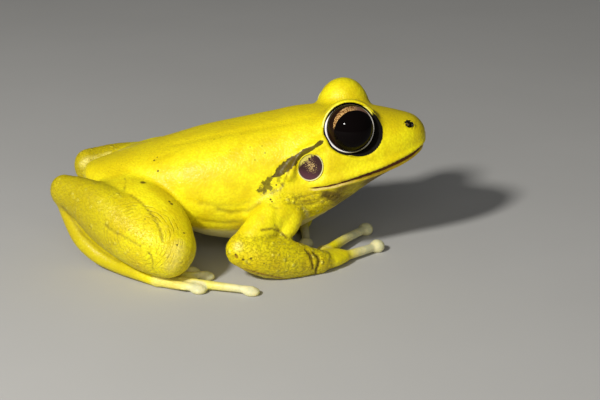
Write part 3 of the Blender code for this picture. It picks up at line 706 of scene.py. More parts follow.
x, y, z = rest.T
forearm = near_limb([sided(arm_parts(side)["fore"], side) for side in SIDES], 0.25, 0.8)
shank = near_limb([on_leg(SHANK, side) for side in SIDES], 0.1, 0.5)
foot = near_limb([on_leg(FOOT, side) for side in SIDES], 0.1, 0.4)
knees = [np.linalg.norm(rest - on_leg(SHANK, side)[0, :3], axis=1) for side in SIDES]
knee = 1 - eased(np.min(knees, axis=0), 2.0, 5.0)
slanted = np.stack([x + 0.8 * z, y, 2.0 * (z - 0.8 * x)], axis=1)
wrinkle = np.abs(soft_noise(slanted * 0.6 + 0.35 * soft_noise(rest, 1.6, 4)[:, None], 0.75, 21))
throat = eased(x, 3.5, 6.0) * eased(z, 10.2, 9.2) * (1 - eased(trunk(rest), 0.6, 1.4))
streaky = np.stack([x * 0.35 + z * 0.35, y * 0.5, z - 0.25 * x], axis=1)
throat_line = np.abs(soft_noise(streaky + 0.25 * soft_noise(rest, 1.3, 44)[:, None], 0.62, 45))
wart = forearm * warts(rest, spacing=1.3, radius=0.42, salt=3)
lift += WART_HEIGHT * (wart + 0.6 * knee * warts(rest, spacing=1.2, radius=0.42, salt=9))
wrinkled = FOREARM_WRINKLES * forearm + KNEE_WRINKLES * knee + SHANK_WRINKLES * shank
lift -= wrinkled * (1 - eased(wrinkle, 0.0, 0.3))
lift -= THROAT_WRINKLES * throat * (1 - eased(throat_line, 0.0, 0.35))
lift += 0.03 * soft_noise(rest, 2.8, 31) + 0.008 * soft_noise(rest, 1.0, 33)

# The mouth runs along the side of the head from its corner and round the front under the snout. The upper lip
# overhangs a band of painted shade that widens forward, and the lower lip is a fine pale roll under it.
MOUTH_X = [9.3, 11.6, 13.5, 15.5, 17.6, 19.5, 21.0, 22.0, 22.6]
MOUTH_Z = [10.33, 10.62, 11.08, 11.62, 12.17, 12.8, 13.25, 13.65, 13.9]
MOUTH_BAND_X = [10.0, 12.4, 13.5, 15.2, 17.0, 19.5, 21.0, 22.6]
MOUTH_BAND = [0.12, 0.14, 0.22, 0.38, 0.5, 0.55, 0.42, 0.25]
LIP_OVERHANG = 0.07
LOWER_LIP = 0.06

above_mouth = z - np.interp(x, MOUTH_X, MOUTH_Z)
band = np.interp(x, MOUTH_BAND_X, MOUTH_BAND)
mouth_share = eased(x, MOUTH_X[0] - 0.9, MOUTH_X[0] + 0.2) * eased(np.abs(z - 12), 6.0, 4.0)
below_band = above_mouth + band + 0.15
mouth_lift = -(0.14 + 0.35 * band) * eased(np.minimum(0.07 - above_mouth, below_band - 0.08), -0.1, 0.12)
mouth_lift += LIP_OVERHANG * np.exp(-(((above_mouth - 0.32) / 0.25) ** 2))
mouth_lift += LOWER_LIP * np.exp(-((below_band / 0.16) ** 2))
mouth_lift -= 0.10 * eased(below_band, -0.15, -0.4) * eased(above_mouth, -2.4, -1.2)
lift += mouth_share * mouth_lift
under_lip = eased(below_band, -0.05, -0.5)

skin_points = rest + lift[:, None] * out
skin_points[:, 2] = np.where(z < 0.02, z, np.maximum(skin_points[:, 2], 0.0))
box_low, box_high = np.array(solid_low) / MM + MIDDLE, np.array(solid_high) / MM + MIDDLE
skin_points = np.clip(skin_points, box_low, box_high)

# Markings, painted shade and painted highlights
# How far each mark covers each point of the skin, kept with the mesh for the skin's colours: 1 in the
# middle of a mark, 0 at its edge and less beyond it, so that the edges stay sharp between the points.

# x, y outward, z and half width along each mark on the right side, but for the painted highlight strip on the
# left thigh
STREAKS = [
    [(10.3, 5.97, 15.76, 0.07), (10.01, 6.1, 15.62, 0.27), (9.6, 6.33, 15.35, 0.28),
     (9.25, 6.49, 15.14, 0.21), (8.84, 6.61, 14.93, 0.28), (8.2, 6.73, 14.6, 0.47),
     (7.5, 6.86, 14.13, 0.58), (6.86, 6.86, 13.66, 0.65), (6.22, 6.77, 13.1, 0.72),
     (5.63, 6.75, 12.56, 0.72), (5.16, 6.78, 12.12, 0.56), (4.69, 6.87, 11.75, 0.26),
     (4.34, 6.91, 11.64, 0.08)],
]
BLOTCHES = [
    [(4.3, 6.95, 11.6, 0.3), (3.9, 7.02, 11.1, 0.55), (3.8, 7.06, 10.6, 0.65), (3.5, 7.09, 10.3, 0.7),
     (3.15, 7.08, 10.8, 0.4)],
    [(2.2, 7.2, 9.9, 0.2), (2.93, 7.16, 10.03, 0.42), (3.4, 7.16, 10.14, 0.6), (4.3, 7.16, 10.3, 0.4)],
]
SPECKS = {
    "body": [(-9.16, 5.67, 11.9, 0.15), (-9.72, 4.22, 12.77, 0.16), (-9.38, 3.9, 13.04, 0.12),
             (-2.61, 3.56, 15.17, 0.1), (-1.9, 3.42, 15.37, 0.09), (3.46, 5.97, 14.23, 0.1),
             (1.7, 5.42, 14.79, 0.09), (-0.65, 5.49, 14.44, 0.08), (3.1, 5.43, 14.91, 0.08),
             (4.78, 7.03, 10.63, 0.14), (4.11, 7.83, 9.11, 0.16), (4.28, 8.03, 8.93, 0.12),
             (2.29, 6.39, 13.51, 0.08), (15.97, 3.48, 18.5, 0.16), (16.21, 3.47, 18.42, 0.16),
             (16.33, 3.57, 18.1, 0.12)],
    "arm": [(0.96, 12.39, 3.38, 0.2), (1.89, 12.42, 3.52, 0.18), (3.39, 12.36, 2.87, 0.11),
            (0.02, 11.9, 4.75, 0.08), (0.1, 12.25, 3.95, 0.14)],
    "leg": [(-12.0, 13.39, 7.42, 0.09), (-5.73, 13.24, 7.0, 0.17), (-6.45, 14.79, 6.13, 0.14),
            (-9.65, 15.03, 5.12, 0.12), (-10.19, 12.77, 8.53, 0.1), (-10.85, 7.05, 10.96, 0.42),
            (-7.55, 9.88, 9.6, 0.2), (-7.3, 10.13, 9.4, 0.24)],
}
CLOUDS = [
    [(5.55, 6.9, 11.73, 0.75), (4.4, 7.0, 11.4, 0.75), (3.6, 7.0, 10.7, 0.75), (3.0, 7.15, 10.1, 0.75)],
    [(5.4, 6.95, 11.5, 0.75), (5.2, 7.1, 10.5, 0.75), (4.3, 7.2, 10.0, 0.75), (3.2, 7.2, 9.9, 0.75)],
]
# Reddish-brown marks on the elbow and along the forearm; on the leg, painted shadow in reddish brown under
# the knee, between the shank and the toes
RUSSET_AND_SHADOW = {
    "arm": [
        [(0.16, 12.32, 3.79, 0.36), (0.2, 12.3, 3.7, 0.36)],
        [(0.59, 11.9, 2.0, 0.25), (2.34, 12.2, 1.55, 0.4), (4.07, 11.75, 0.8, 0.45), (5.8, 10.8, 0.1, 0.4)],
    ],
    "leg": [
        [(-8.3, 12.1, 1.3, 0.5), (-7.2, 12.3, 1.4, 0.6), (-6.3, 12.2, 1.2, 0.5)],
    ],
}
# A pale flush on each elbow, a pale flush with a painted highlight on each knee cap, and a strip of painted
# highlight along the far hind leg and rump, where the light catches it
ELBOW_FLUSH = [(0.39, 12.0, 5.0, 0.8), (0.35, 12.1, 4.7, 0.8)]
KNEE_FLUSH_AND_HIGHLIGHT = [(-7.2, 15.3, 3.6, 1.3), (-6.6, 15.2, 5.0, 1.6), (-6.2, 14.8, 6.0, 1.2)]
FAR_HIGHLIGHT_STRIP = [
    (-19.2, 3.1, 9.7, 0.9), (-18.5, 3.5, 10.1, 0.7), (-17.12, 4.14, 10.34, 0.5),
    (-15.95, 4.84, 10.62, 0.45), (-14.39, 2.05, 11.94, 0.4), (-13.16, 2.13, 12.3, 0.35),
    (-11.72, 2.45, 12.71, 0.3),
]
THROAT_BAND = [(7.85, 6.9, 7.8, 0.25), (8.35, 6.2, 6.9, 0.55), (8.5, 4.5, 5.2, 0.7)]
# Painted shade under the lower jaw runs along these lines
JAW_SHADE = [(10.6, 6.8, 9.4, 0.9), (11.8, 6.2, 8.8, 1.3), (13.2, 5.6, 9.2, 1.3)]
ARC_CENTRE = (-10.93, 14.15, 6.73)
PALE_EDGE_X = [-18.7, -14.0, -8.0, -3.0, 2.0, 6.0, 8.0, 10.7, 13.5, 17.6, 22.4]
PALE_EDGE_Z = [7.0, 6.0, 5.2, 4.9, 4.6, 4.4, 5.9, 6.5, 8.0, 10.4, 12.6]
FINGER_CREAM = (1.0, 1.0, 0.4, 0.6)


def covered(paths, part, sides=SIDES):
    """How far marks cover each point: 1 on the line of one and 0 at its own half width from it."""
    best = np.full(len(rest), -1.0)
    for path in [placed(path, part, side) for side in sides for path in paths]:
        best = np.maximum(best, 1.0 - line_gap(rest, path[:, :3], path[:, 3]))
    return best


def tip_share(path, near, root, start, full):
    """The share of cream along a digit: the root's, growing to 1 from start to full of its length."""
    step = path[2] - path[0]
    along = eased(np.clip((rest - path[0]) @ step / (step @ step), 0, 1), start, full)
    return (1 - eased(line_gap(rest, path), near, near + 0.4)) * (root + (1 - root) * along)


streak, blotch, cloud = (covered(paths, "body") for paths in (STREAKS, BLOTCHES, CLOUDS))
# russet: reddish-brown marks on the arms, and painted shadow under the knees
russet_and_shadow = np.maximum(covered(RUSSET_AND_SHADOW["arm"], "arm"), covered(RUSSET_AND_SHADOW["leg"], "leg"))
# flush: pale flushes on the elbows and knees, with painted highlights on the knee caps and along the far hind
# leg
flush_and_highlight = np.zeros(len(rest))
for share, cover in ((0.9, covered([ELBOW_FLUSH], "arm")), (0.55, covered([KNEE_FLUSH_AND_HIGHLIGHT], "leg")),
                     (0.8, covered([FAR_HIGHLIGHT_STRIP], "body", [1]))):
    flush_and_highlight = np.maximum(flush_and_highlight, share * eased(cover, 0.0, 0.9))
cream = np.zeros(len(rest))
for side in SIDES:
    for path, share in zip(arm_parts(side)["fingers"], FINGER_CREAM):
        cream = np.maximum(cream, share * tip_share(sided(path, side), 0.9, 0.0, 0.15, 0.65))
    for path in TOES:
        cream = np.maximum(cream, tip_share(on_leg(path, side), 0.8, 0.35, 0.5, 0.95))
arcs = np.min([np.linalg.norm(rest - placed([ARC_CENTRE], "leg", side)[0], axis=1) for side in SIDES], axis=0)
# jaw: painted shade on the lower jaw below the lip, whose underside is turned from the light
jaw = eased(covered([JAW_SHADE], "body"), 0.0, 0.6)
jaw = np.maximum(mouth_share * eased(x, 10.2, 12.4), jaw) * under_lip
pale = (1 - eased(trunk(rest), 0.1, 0.5)) * eased(np.interp(x, PALE_EDGE_X, PALE_EDGE_Z) - z, -0.5, 1.1)
pale = np.maximum(pale, 0.55 * eased(covered([THROAT_BAND], "body"), 0.0, 1.0))
# back: the top of the back and head, darkened there with painted shade and stippled more densely
under_top = z - np.interp(x, TRUNK_ROWS[:, 0], TRUNK_ROWS[:, 3])
back = (1 - eased(trunk(rest), 0.3, 1.2)) * eased(under_top, -1.6, -0.3)
# Painted shade where the light falls off: toward the heel on the shanks, on the back of the feet, toward the
# wrist on the forearms and on top of the snout
falloff_shade = shank * eased(x, -9.0, -19.0) + 0.5 * forearm * eased(x, 1.5, 4.5)
falloff_shade = np.max([falloff_shade, 0.75 * foot * eased(x, -9.5, -12.5), 0.45 * back * eased(x, 13.0, 17.0)], axis=0)
rough = np.max([forearm, 0.6 * knee, 0.5 * shank, 0.9 * throat], axis=0)

# socket: painted shadow, near black in the gap round each eyeball and in the hollow in front of it, where the
# bulging eye casts its shadow. nostril: how far inside each nostril's oval, whose pit is painted dark as
# shade, and lobe the lighter flap in it.
socket, nostril, lobe = np.zeros(len(rest)), np.full(len(rest), -1.0), np.zeros(len(rest))
for side in SIDES:
    out_by, opening, orbit, from_centre = round_eye(rest, side)
    hole = LID_OPENING[side]
    opened = eased(opening, hole + 0.05, hole - 0.08) * eased(out_by, -0.5, -0.2) * eased(out_by, 1.2, 0.7)
    hollow = eased(orbit, ORBIT_RADII[0] + 0.08, ORBIT_RADII[0] - 0.12) * eased(out_by, -0.6, -0.3)
    hollow *= eased(out_by, 1.2, 0.9) * eased(from_centre, 4.3, 4.0)
    socket = np.max([socket, opened, hollow], axis=0)
    off, aim, forward, up, wide = round_nostril(rest, side)
    nostril = np.maximum(nostril, np.where(np.abs(off @ aim) < 0.8, 1.0 - wide, -1.0))
    from_lobe = np.linalg.norm(off + 0.17 * forward - 0.08 * up + 0.1 * aim, axis=1)
    lobe = np.maximum(lobe, 1.0 - eased(from_lobe, 0.12, 0.34))


def new_piece(name, points, faces, node_names, paint, marks):
    """A finished piece from points in millimetres on the solids' scale, with its marks, paint and calls."""
    mesh = bpy.data.meshes.new(name)
    mesh.from_pydata(((points - MIDDLE) * MM).tolist(), [], faces)
    mesh.shade_smooth()
    mesh.materials.append(paint.material)
    for mark, value in marks.items():
        mesh.attributes.new(mark, "FLOAT", "POINT").data.foreach_set("value", np.asarray(value, np.float32))
    piece = bpy.data.objects.new(name, mesh)
    bpy.context.scene.collection.objects.link(piece)
    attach(piece, "root")
    if node_names:
        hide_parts(*node_names)


class Paint:
    """A Principled material, short calls for the nodes that feed it, and the colour laid on so far."""

    def __init__(self, name, colour):
        self.material = bpy.data.materials.new(name)
        self.material.use_nodes = True
        self.tree = self.material.node_tree
        self.place = self.add("TexCoord", {}, "Object")
        self.colour = colour

    def feed(self, socket, value):
        """Links a node's output to a socket, or sets the socket to a number, a vector or a colour."""
        if isinstance(value, bpy.types.NodeSocket):
            self.tree.links.new(value, socket)
        else:
            socket.default_value = (*value, 1.0) if socket.type == "RGBA" else value

    def add(self, kind, inputs, output, **settings):
        made = self.tree.nodes.new("ShaderNode" + kind)
        for key, value in settings.items():
            setattr(made, key, value)
        for key, value in inputs.items():
            self.feed(made.inputs[key], value)
        return made.outputs[output]

    def noise(self, size, detail=2.0, roughness=0.5, place=None):
        return self.add("TexNoise", {"Vector": place or self.place, "Scale": 1.0 / (size * MM),
                                     "Detail": detail, "Roughness": roughness}, "Fac")

    def cells(self, size, smoothness=None):
        inputs = {"Vector": self.place, "Scale": 1.0 / (size * MM)}
        if smoothness is None:
            return self.add("TexVoronoi", inputs, "Distance")
        return self.add("TexVoronoi", inputs | {"Smoothness": smoothness}, "Distance", feature="SMOOTH_F1")

    def mark(self, name):
        return self.add("Attribute", {}, "Fac", attribute_name=name)

    def maths(self, operation, *values):
        return self.add("Math", dict(enumerate(values)), "Value", operation=operation)

    def plus(self, a, b, scale=1.0):
        return self.maths("MULTIPLY_ADD", b, scale, a)

    def times(self, a, b):
        return self.maths("MULTIPLY", a, b)

    def ease(self, value, low, high, to_low=0.0, to_high=1.0):
        return self.add("MapRange", {"Value": value, "From Min": low, "From Max": high, "To Min": to_low,
                                     "To Max": to_high}, "Result", interpolation_type="SMOOTHSTEP")

    def mix(self, share, one, two):
        return self.add("Mix", {0: share, 6: one, 7: two}, 2, data_type="RGBA")

    def cover(self, share, colour, strength=None):
        """Lays a colour over the colour so far, by its share, or by a part of its share."""
        share = share if strength is None else self.times(share, strength)
        self.colour = self.mix(share, self.colour, colour)

    def bump(self, height, depth, under=None):
        inputs = {"Height": height, "Distance": depth * MM, "Strength": 1.0}
        return self.add("Bump", inputs if under is None else inputs | {"Normal": under}, "Normal")

    def finish(self, **sockets):
        """Puts the colour on the shader, and a number, a vector or a node's output on each socket named."""
        for key, value in {"Base_Color": self.colour, **sockets}.items():
            self.feed(self.tree.nodes["Principled BSDF"].inputs[key.replace("_", " ")], value)


# Skin colours
# The skin is moist and finely grained: lemon yellow, paler below, cream on the finger tips, with a dark
# olive streak behind the eye. Painted shade darkens its creases, grooves, hollows, nostrils, mouth band, jaw
# and the parts where the light falls off, and painted highlights lie on wart tops, knee caps and the far
# hind leg. Each colour is laid over the ones before it, where its mark says.

YELLOW = (0.90, 0.80, 0.008)
DEEP_YELLOW = (0.77, 0.61, 0.004)
# Darker yellow for painted shade between the granules
GRAIN_SHADE_YELLOW = (0.64, 0.50, 0.004)
# Dark yellow for painted shade where the light falls off
FALLOFF_SHADE_YELLOW = (0.45, 0.355, 0.003)
# Pale yellow for the painted highlight on wart tops
WART_HIGHLIGHT_YELLOW = (0.93, 0.88, 0.16)
PALE_SKIN = (0.74, 0.66, 0.24)
# Pale yellow for the flushes and the painted highlights
FLUSH_AND_HIGHLIGHT = (0.88, 0.76, 0.15)
CREAM = (0.80, 0.74, 0.40)
PAD_GREEN = (0.66, 0.64, 0.36)
OLIVE = (0.085, 0.062, 0.004)
OLIVE_BROWN = (0.060, 0.030, 0.006)
# Olive brown for the painted shade under the jaw
JAW_SHADE_OLIVE = (0.13, 0.085, 0.008)
# Browns for painted shade in creases, wrinkles and grooves, deepest along the creases' middles; the first
# also colours the real dark stipple dots
SHADE_AND_SPECK_BROWN = (0.22, 0.15, 0.010)
DEEP_CREASE_SHADE = (0.055, 0.030, 0.005)
SPECK_BROWN = (0.13, 0.09, 0.007)
# Reddish brown for the russet marks and the painted shadow under the knees
RUSSET_AND_SHADOW_BROWN = (0.22, 0.07, 0.010)
# Red-brown for the painted shade in the band under the upper lip
MOUTH_SHADE_BROWN = (0.11, 0.030, 0.005)
LIP_CREAM = (0.84, 0.66, 0.30)
LIP_ORANGE = (0.42, 0.20, 0.02)
# Near black for painted shadow round the eyes and painted shade in the nostril pits
SHADOW_BLACK = (0.003, 0.002, 0.001)
LOBE_BROWN = (0.21, 0.15, 0.05)

skin = Paint("frog_skin", YELLOW)
broad = skin.noise(3.2, 3.0)
fine = skin.noise(0.45, 3.0, 0.6)
grain = skin.cells(0.30, 0.35)
pebble = skin.cells(0.62, 0.5)
skin.cover(skin.ease(broad, 0.40, 0.66), DEEP_YELLOW)
# Painted shade on the top of the back and head, which is turned from the light
skin.cover(skin.mark("back"), DEEP_YELLOW, 0.7)
skin.cover(skin.ease(skin.noise(1.1), 0.45, 0.7, 0.0, 0.4), DEEP_YELLOW)
# Painted shade in the valleys between the granules
skin.cover(skin.ease(grain, 0.35, 0.75), GRAIN_SHADE_YELLOW, 0.35)
# Painted shade toward the heels, feet, wrists and snout tip, where the light falls off
skin.cover(skin.mark("falloff_shade"), FALLOFF_SHADE_YELLOW, 0.85)

# Fine stripes in arcs over the knee and wrinkles on the rough parts, grooved and darkened with painted shade,
# and painted highlights on the wart tops
wave = skin.maths("SINE", skin.plus(skin.times(skin.mark("arcs"), 13.0), skin.noise(0.9, 3.0), 7.0))
arc_share = skin.times(skin.ease(skin.mark("arcs"), 1.2, 3.0), skin.ease(skin.mark("arcs"), 6.2, 3.9))
arc_line = skin.times(skin.times(skin.ease(wave, 0.35, 1.0), arc_share), skin.ease(skin.noise(1.3), 0.4, 0.6))
slant = skin.add("VectorMath", {0: skin.place, 1: (1.0, 1.0, 1.9)}, "Vector", operation="MULTIPLY")
wrinkle = skin.maths("ABSOLUTE", skin.plus(skin.noise(0.55, 3.0, 0.55, slant), -0.5))
wrinkle = skin.times(skin.ease(wrinkle, 0.035, 0.0), skin.mark("rough"))
lines = skin.maths("MAXIMUM", wrinkle, arc_line)
# Painted shade in the grooves of the wrinkles and arcs
skin.cover(lines, SHADE_AND_SPECK_BROWN, 0.30)
wart_top = skin.times(skin.ease(skin.cells(1.05), 0.32, 0.06), skin.mark("rough"))
wart_top = skin.times(wart_top, skin.ease(skin.noise(1.6), 0.35, 0.55))
# Painted highlight on the wart tops, where the light catches them
skin.cover(wart_top, WART_HIGHLIGHT_YELLOW, 0.45)
stipple = skin.ease(skin.plus(broad, skin.mark("back"), 0.3), 0.45, 0.8)
skin.cover(skin.times(skin.ease(skin.noise(0.22, 2.0, 0.6), 0.60, 0.72), stipple), SHADE_AND_SPECK_BROWN, 0.4)

# Paler parts, then flushes with painted highlights, painted shade in the creases, russet marks with painted
# shadow under the knees, and the dark marks
skin.cover(skin.ease(skin.plus(skin.mark("pale"), fine, 0.5), 0.35, 1.1), PALE_SKIN)
# Pale flushes, with painted highlights on the knee caps and along the far hind leg
skin.cover(skin.times(skin.mark("flush_and_highlight"), skin.ease(fine, 0.15, 0.6)), FLUSH_AND_HIGHLIGHT)
skin.cover(skin.mark("cream"), skin.mix(skin.ease(skin.noise(0.9), 0.4, 0.6), CREAM, PAD_GREEN))
# Painted shade in the creases, deepest along their middles
crease_colour = skin.mix(skin.ease(skin.mark("crease"), 0.45, 0.95), SHADE_AND_SPECK_BROWN, DEEP_CREASE_SHADE)
skin.cover(skin.ease(skin.mark("crease"), 0.0, 0.7), crease_colour, 0.85)
# Reddish-brown marks on the arms, and painted shadow under the knees
skin.cover(skin.ease(skin.plus(skin.mark("russet_and_shadow"), fine, 0.5), 0.25, 0.85), RUSSET_AND_SHADOW_BROWN, 0.75)
clouded = skin.ease(skin.noise(0.62, 3.0, 0.6), 0.43, 0.60)
skin.cover(skin.times(skin.ease(skin.mark("cloud"), 0.0, 0.6), clouded), OLIVE, 0.5)
mottled = skin.plus(skin.times(skin.mark("blotch"), 0.8), skin.noise(0.55, 3.0, 0.55), 2.0)
skin.cover(skin.ease(mottled, 1.22, 1.48), OLIVE, 0.8)
ragged = skin.ease(skin.plus(skin.mark("streak"), fine, 0.9), 0.42, 0.62)
skin.cover(ragged, skin.mix(skin.ease(fine, 0.4, 0.62), OLIVE, OLIVE_BROWN), 0.93)
speck_gap = FAR
for part, spots in SPECKS.items():
    for *spot, radius in placed(spots, part, -1):
        middle = tuple(((np.array(spot) - MIDDLE) * MM).tolist())
        gap = skin.add("VectorMath", {0: skin.place, 1: middle}, "Value", operation="DISTANCE")
        speck_gap = skin.maths("MINIMUM", skin.times(gap, 1.0 / (radius * MM)), speck_gap)
skin.cover(skin.ease(skin.plus(speck_gap, fine, 0.5), 1.45, 0.65), SPECK_BROWN)

# The mouth's lips and its band of painted shade, painted shade on the jaw, and painted shade and shadow in
# the nostrils and the hollows round the eyes
# Painted shade on the lower jaw, turned from the light
skin.cover(skin.times(skin.mark("jaw"), skin.ease(broad, 0.25, 0.65, 0.5, 0.95)), JAW_SHADE_OLIVE)
forward_share = skin.ease(skin.add("SeparateXYZ", {0: skin.place}, "X"), 11.5 * MM, 14.5 * MM)
lower_lip = skin.ease(skin.maths("ABSOLUTE", skin.mark("below_band")), 0.16, 0.07)
lower_lip = skin.times(lower_lip, skin.mark("mouth_share"))
skin.cover(lower_lip, skin.mix(forward_share, LIP_CREAM, LIP_ORANGE), 0.6)
# Painted shade in the band under the overhanging upper lip
in_band = skin.maths("MINIMUM", skin.plus(0.07, skin.mark("above_mouth"), -1.0),
                     skin.plus(skin.mark("below_band"), -0.08))
skin.cover(skin.times(skin.ease(in_band, 0.0, 0.06), skin.mark("mouth_share")), MOUTH_SHADE_BROWN)
# Each nostril's pit is painted near black as shade, with the lighter brown lobe in it
nostril_colour = skin.mix(skin.mark("lobe"), SHADOW_BLACK, LOBE_BROWN)
skin.cover(skin.ease(skin.mark("nostril"), -0.05, 0.10), nostril_colour)
# Painted shadow: near black in the gap round each eyeball and in the hollow in front of it, where the eye
# casts its shadow; the skin is rougher there too
socket_shadow = skin.ease(skin.mark("socket"), 0.25, 0.6)
skin.cover(socket_shadow, SHADOW_BLACK)
relief = None
for height, depth in ((skin.ease(pebble, 0.75, 0.1), 0.012), (skin.ease(grain, 0.7, 0.1), 0.016),
                      (skin.noise(0.16), 0.010), (skin.times(lines, -1.0), 0.05), (wart_top, 0.16)):
    relief = skin.bump(height, depth, relief)
skin.finish(Roughness=skin.plus(skin.ease(fine, 0.3, 0.7, 0.36, 0.54), socket_shadow, 0.45), Normal=relief,
            Specular_IOR_Level=0.28, Subsurface_Weight=0.12, Subsurface_Scale=0.0006,
            Subsurface_Radius=(1.0, 0.8, 0.15))

SKIN_NODES = ["torso", "head", "lower_jaw"] + [
    part + "_" + side for side in ("right", "left")
    for part in ("upper_arm", "forearm", "hand", "thigh", "shank", "foot")]
new_piece("skin", skin_points, skin_faces.tolist(), SKIN_NODES, skin,
          dict(crease=crease, streak=streak, blotch=blotch, cloud=cloud, russet_and_shadow=russet_and_shadow, cream=cream,
               flush_and_highlight=flush_and_highlight, pale=pale, back=back, above_mouth=above_mouth, below_band=below_band,
               mouth_share=mouth_share, jaw=jaw, arcs=arcs, falloff_shade=falloff_shade, rough=rough, socket=socket,
               nostril=nostril, lobe=lobe))

# Eyes
# A wet, nearly black ball with a wide pupil, which leaves a crescent of gold iris at the upper back. Its
# two edges are circles on the ball: the way each one faces and how far it lies from the ball's centre.

PUPIL_EDGE = ((0.322, 0.946, 0.041), 1.35)
IRIS_EDGE = ((0.25, 0.897, 0.364), 1.42)
EYE_RINGS = 60
EYE_SIDES = 120
EYE_BROWN = (0.016, 0.007, 0.004)
PUPIL_BLACK = (0.003, 0.002, 0.002)
IRIS_BROWN = (0.12, 0.04, 0.010)
IRIS_GOLD = (0.60, 0.36, 0.13)
IRIS_ROSE = (0.19, 0.10, 0.07)


def round_grid(rings, sides):
    """A closed ball's faces on a grid of rings from pole to pole, with its two poles last."""
    index = np.arange(rings * sides).reshape(rings, sides)
    ahead = np.roll(index, -1, axis=1)
    walls = np.stack([index[:-1], index[1:], ahead[1:], ahead[:-1]], axis=-1).reshape(-1, 4).tolist()
    first = [(rings * sides, a, b) for a, b in zip(index[0].tolist(), ahead[0].tolist())]
    return walls + first + [(rings * sides + 1, b, a) for a, b in zip(index[-1].tolist(), ahead[-1].tolist())]


def turned_out(faces, points):
    """The same faces with every one turned over if the closed surface encloses a negative volume."""
    a, b, c = (points[[face[k] for face in faces]] - points.mean(0) for k in range(3))
    return faces if np.einsum("ij,ij->", a, np.cross(b, c)) > 0 else [face[::-1] for face in faces]


def ring_turns(count):
    return np.linspace(0.0, 2 * math.pi, count, endpoint=False)


eye = Paint("wet_eye", EYE_BROWN)
fleck = eye.noise(0.16, 2.0, 0.6)
gold = eye.mix(eye.ease(fleck, 0.42, 0.58), IRIS_BROWN, IRIS_GOLD)
gold = eye.mix(eye.ease(eye.mark("ahead"), 0.0, 1.0), gold, IRIS_ROSE)
in_iris = eye.ease(eye.plus(eye.mark("iris"), fleck, 0.1), 0.03, 0.11)
eye.cover(eye.times(in_iris, eye.ease(eye.plus(eye.mark("up"), fleck, 0.5), 0.0, 0.5)), gold)
eye.cover(eye.ease(eye.mark("pupil"), -0.02, 0.03), PUPIL_BLACK)
eye.finish(Roughness=0.02, IOR=1.22, Specular_IOR_Level=0.2)

for side, name in zip(SIDES, ("right", "left")):
    aim, forward, up = facing_axes(LID_AIM, side)
    lean = np.linspace(0.0, math.pi, EYE_RINGS + 2)[1:-1, None, None]
    turn = ring_turns(EYE_SIDES)[None, :, None]
    offset = np.cos(lean) * aim + np.sin(lean) * (np.cos(turn) * forward + np.sin(turn) * up)
    offset = EYE_RADIUS * np.concatenate([offset.reshape(-1, 3), [aim, -aim]])
    marks = {"ahead": offset @ forward, "up": offset @ up}
    for mark, (faces_to, away) in (("pupil", PUPIL_EDGE), ("iris", IRIS_EDGE)):
        marks[mark] = offset @ unit(mirrored(faces_to, side)) - away
    faces = turned_out(round_grid(EYE_RINGS, EYE_SIDES), offset)
    new_piece("eyeball_" + name, EYE_CENTRE[side] + offset, faces, ["eye_" + name], eye, marks)

# Lid edges
# Two thin rolls of skin close round each ball: the lid's own yellow edge, and inside it the whitish edge of
# the clear lower lid, thick at the back of the eye, fine in front and missing over the top.

LID_EDGE_OUTSIDE = 0.05
LID_EDGE_ROLL_OUT = 0.42
LID_EDGE_THICKNESS = 0.085
LID_EDGE_SUNK = (333.0, 63.0, 0.8)
WHITE_EDGE_RING = (2.80, 0.70)
WHITE_EDGE_AIM = (-0.075, 0.964, 0.255)
WHITE_EDGE_THICKNESS = 0.03
# Angle in degrees round the ring, width and height of each swelling, and of each part that isn't dull
LID_EDGE_SWELLINGS = [(180.0, 60.0, 0.04)]
WHITE_EDGE_SWELLINGS = [(198.0, 58.0, 0.13), (270.0, 70.0, 0.05), (0.0, 60.0, 0.02), (100.0, 70.0, -0.02)]
WHITE_EDGE_BRIGHT = [(205.0, 80.0, 1.3), (0.0, 70.0, 0.5)]
ROLL_TURNS = 240
ROLL_SIDES = 12


def roll(centre, axes, ring, away, thickness):
    """A closed roll round a ring in the plane of two axes: at each angle round the ring a small circle."""
    aim, forward, up = axes
    turn, tube = ring_turns(ROLL_TURNS)[:, None], ring_turns(ROLL_SIDES)[None, :, None]
    outward = np.cos(turn) * forward + np.sin(turn) * up
    middle = centre + ring * outward + np.broadcast_to(away, ROLL_TURNS)[:, None] * aim
    around = np.cos(tube) * outward[:, None] + np.sin(tube) * aim
    points = (middle[:, None] + thickness[:, None, None] * around).reshape(-1, 3)
    index = np.arange(len(points)).reshape(-1, ROLL_SIDES)
    ahead = np.roll(index, -1, axis=0)
    faces = np.stack([index, ahead, np.roll(ahead, -1, axis=1), np.roll(index, -1, axis=1)], axis=-1)
    return points, turned_out(faces.reshape(-1, 4).tolist(), points)


def round_bump(turn, middle, width, flat=0.35):
    """1 at an angle in degrees of the ring, as far as a flat share of width, and 0 from width degrees on."""
    gap = np.abs((np.degrees(turn) - middle + 180.0) % 360.0 - 180.0)
    return 1.0 - eased(gap, flat * width, width)


def swellings(turn, table):
    return sum(high * round_bump(turn, middle, width) for middle, width, high in table)


edge = Paint("lid_edge_skin", None)
edge_fine = edge.noise(0.3, 3.0, 0.6)
edge.colour = edge.mix(edge.ease(edge_fine, 0.35, 0.7), (0.92, 0.86, 0.16), (0.84, 0.74, 0.03))
# The lower half of the edge a little darker: painted shade, with the upper half lit
edge.cover(edge.mark("low"), (0.80, 0.72, 0.10))
edge.finish(Normal=edge.bump(edge_fine, 0.01), Roughness=0.38, Coat_Weight=0.15, Coat_Roughness=0.2)

white = Paint("clear_lid_edge", (0.95, 0.93, 0.90))
white.cover(white.ease(white.noise(0.2, 3.0, 0.6), 0.3, 0.7), (0.86, 0.80, 0.76))
white.cover(white.mark("dull"), (0.17, 0.15, 0.07))
white.finish(Roughness=0.3, Coat_Weight=0.3, Coat_Roughness=0.1)

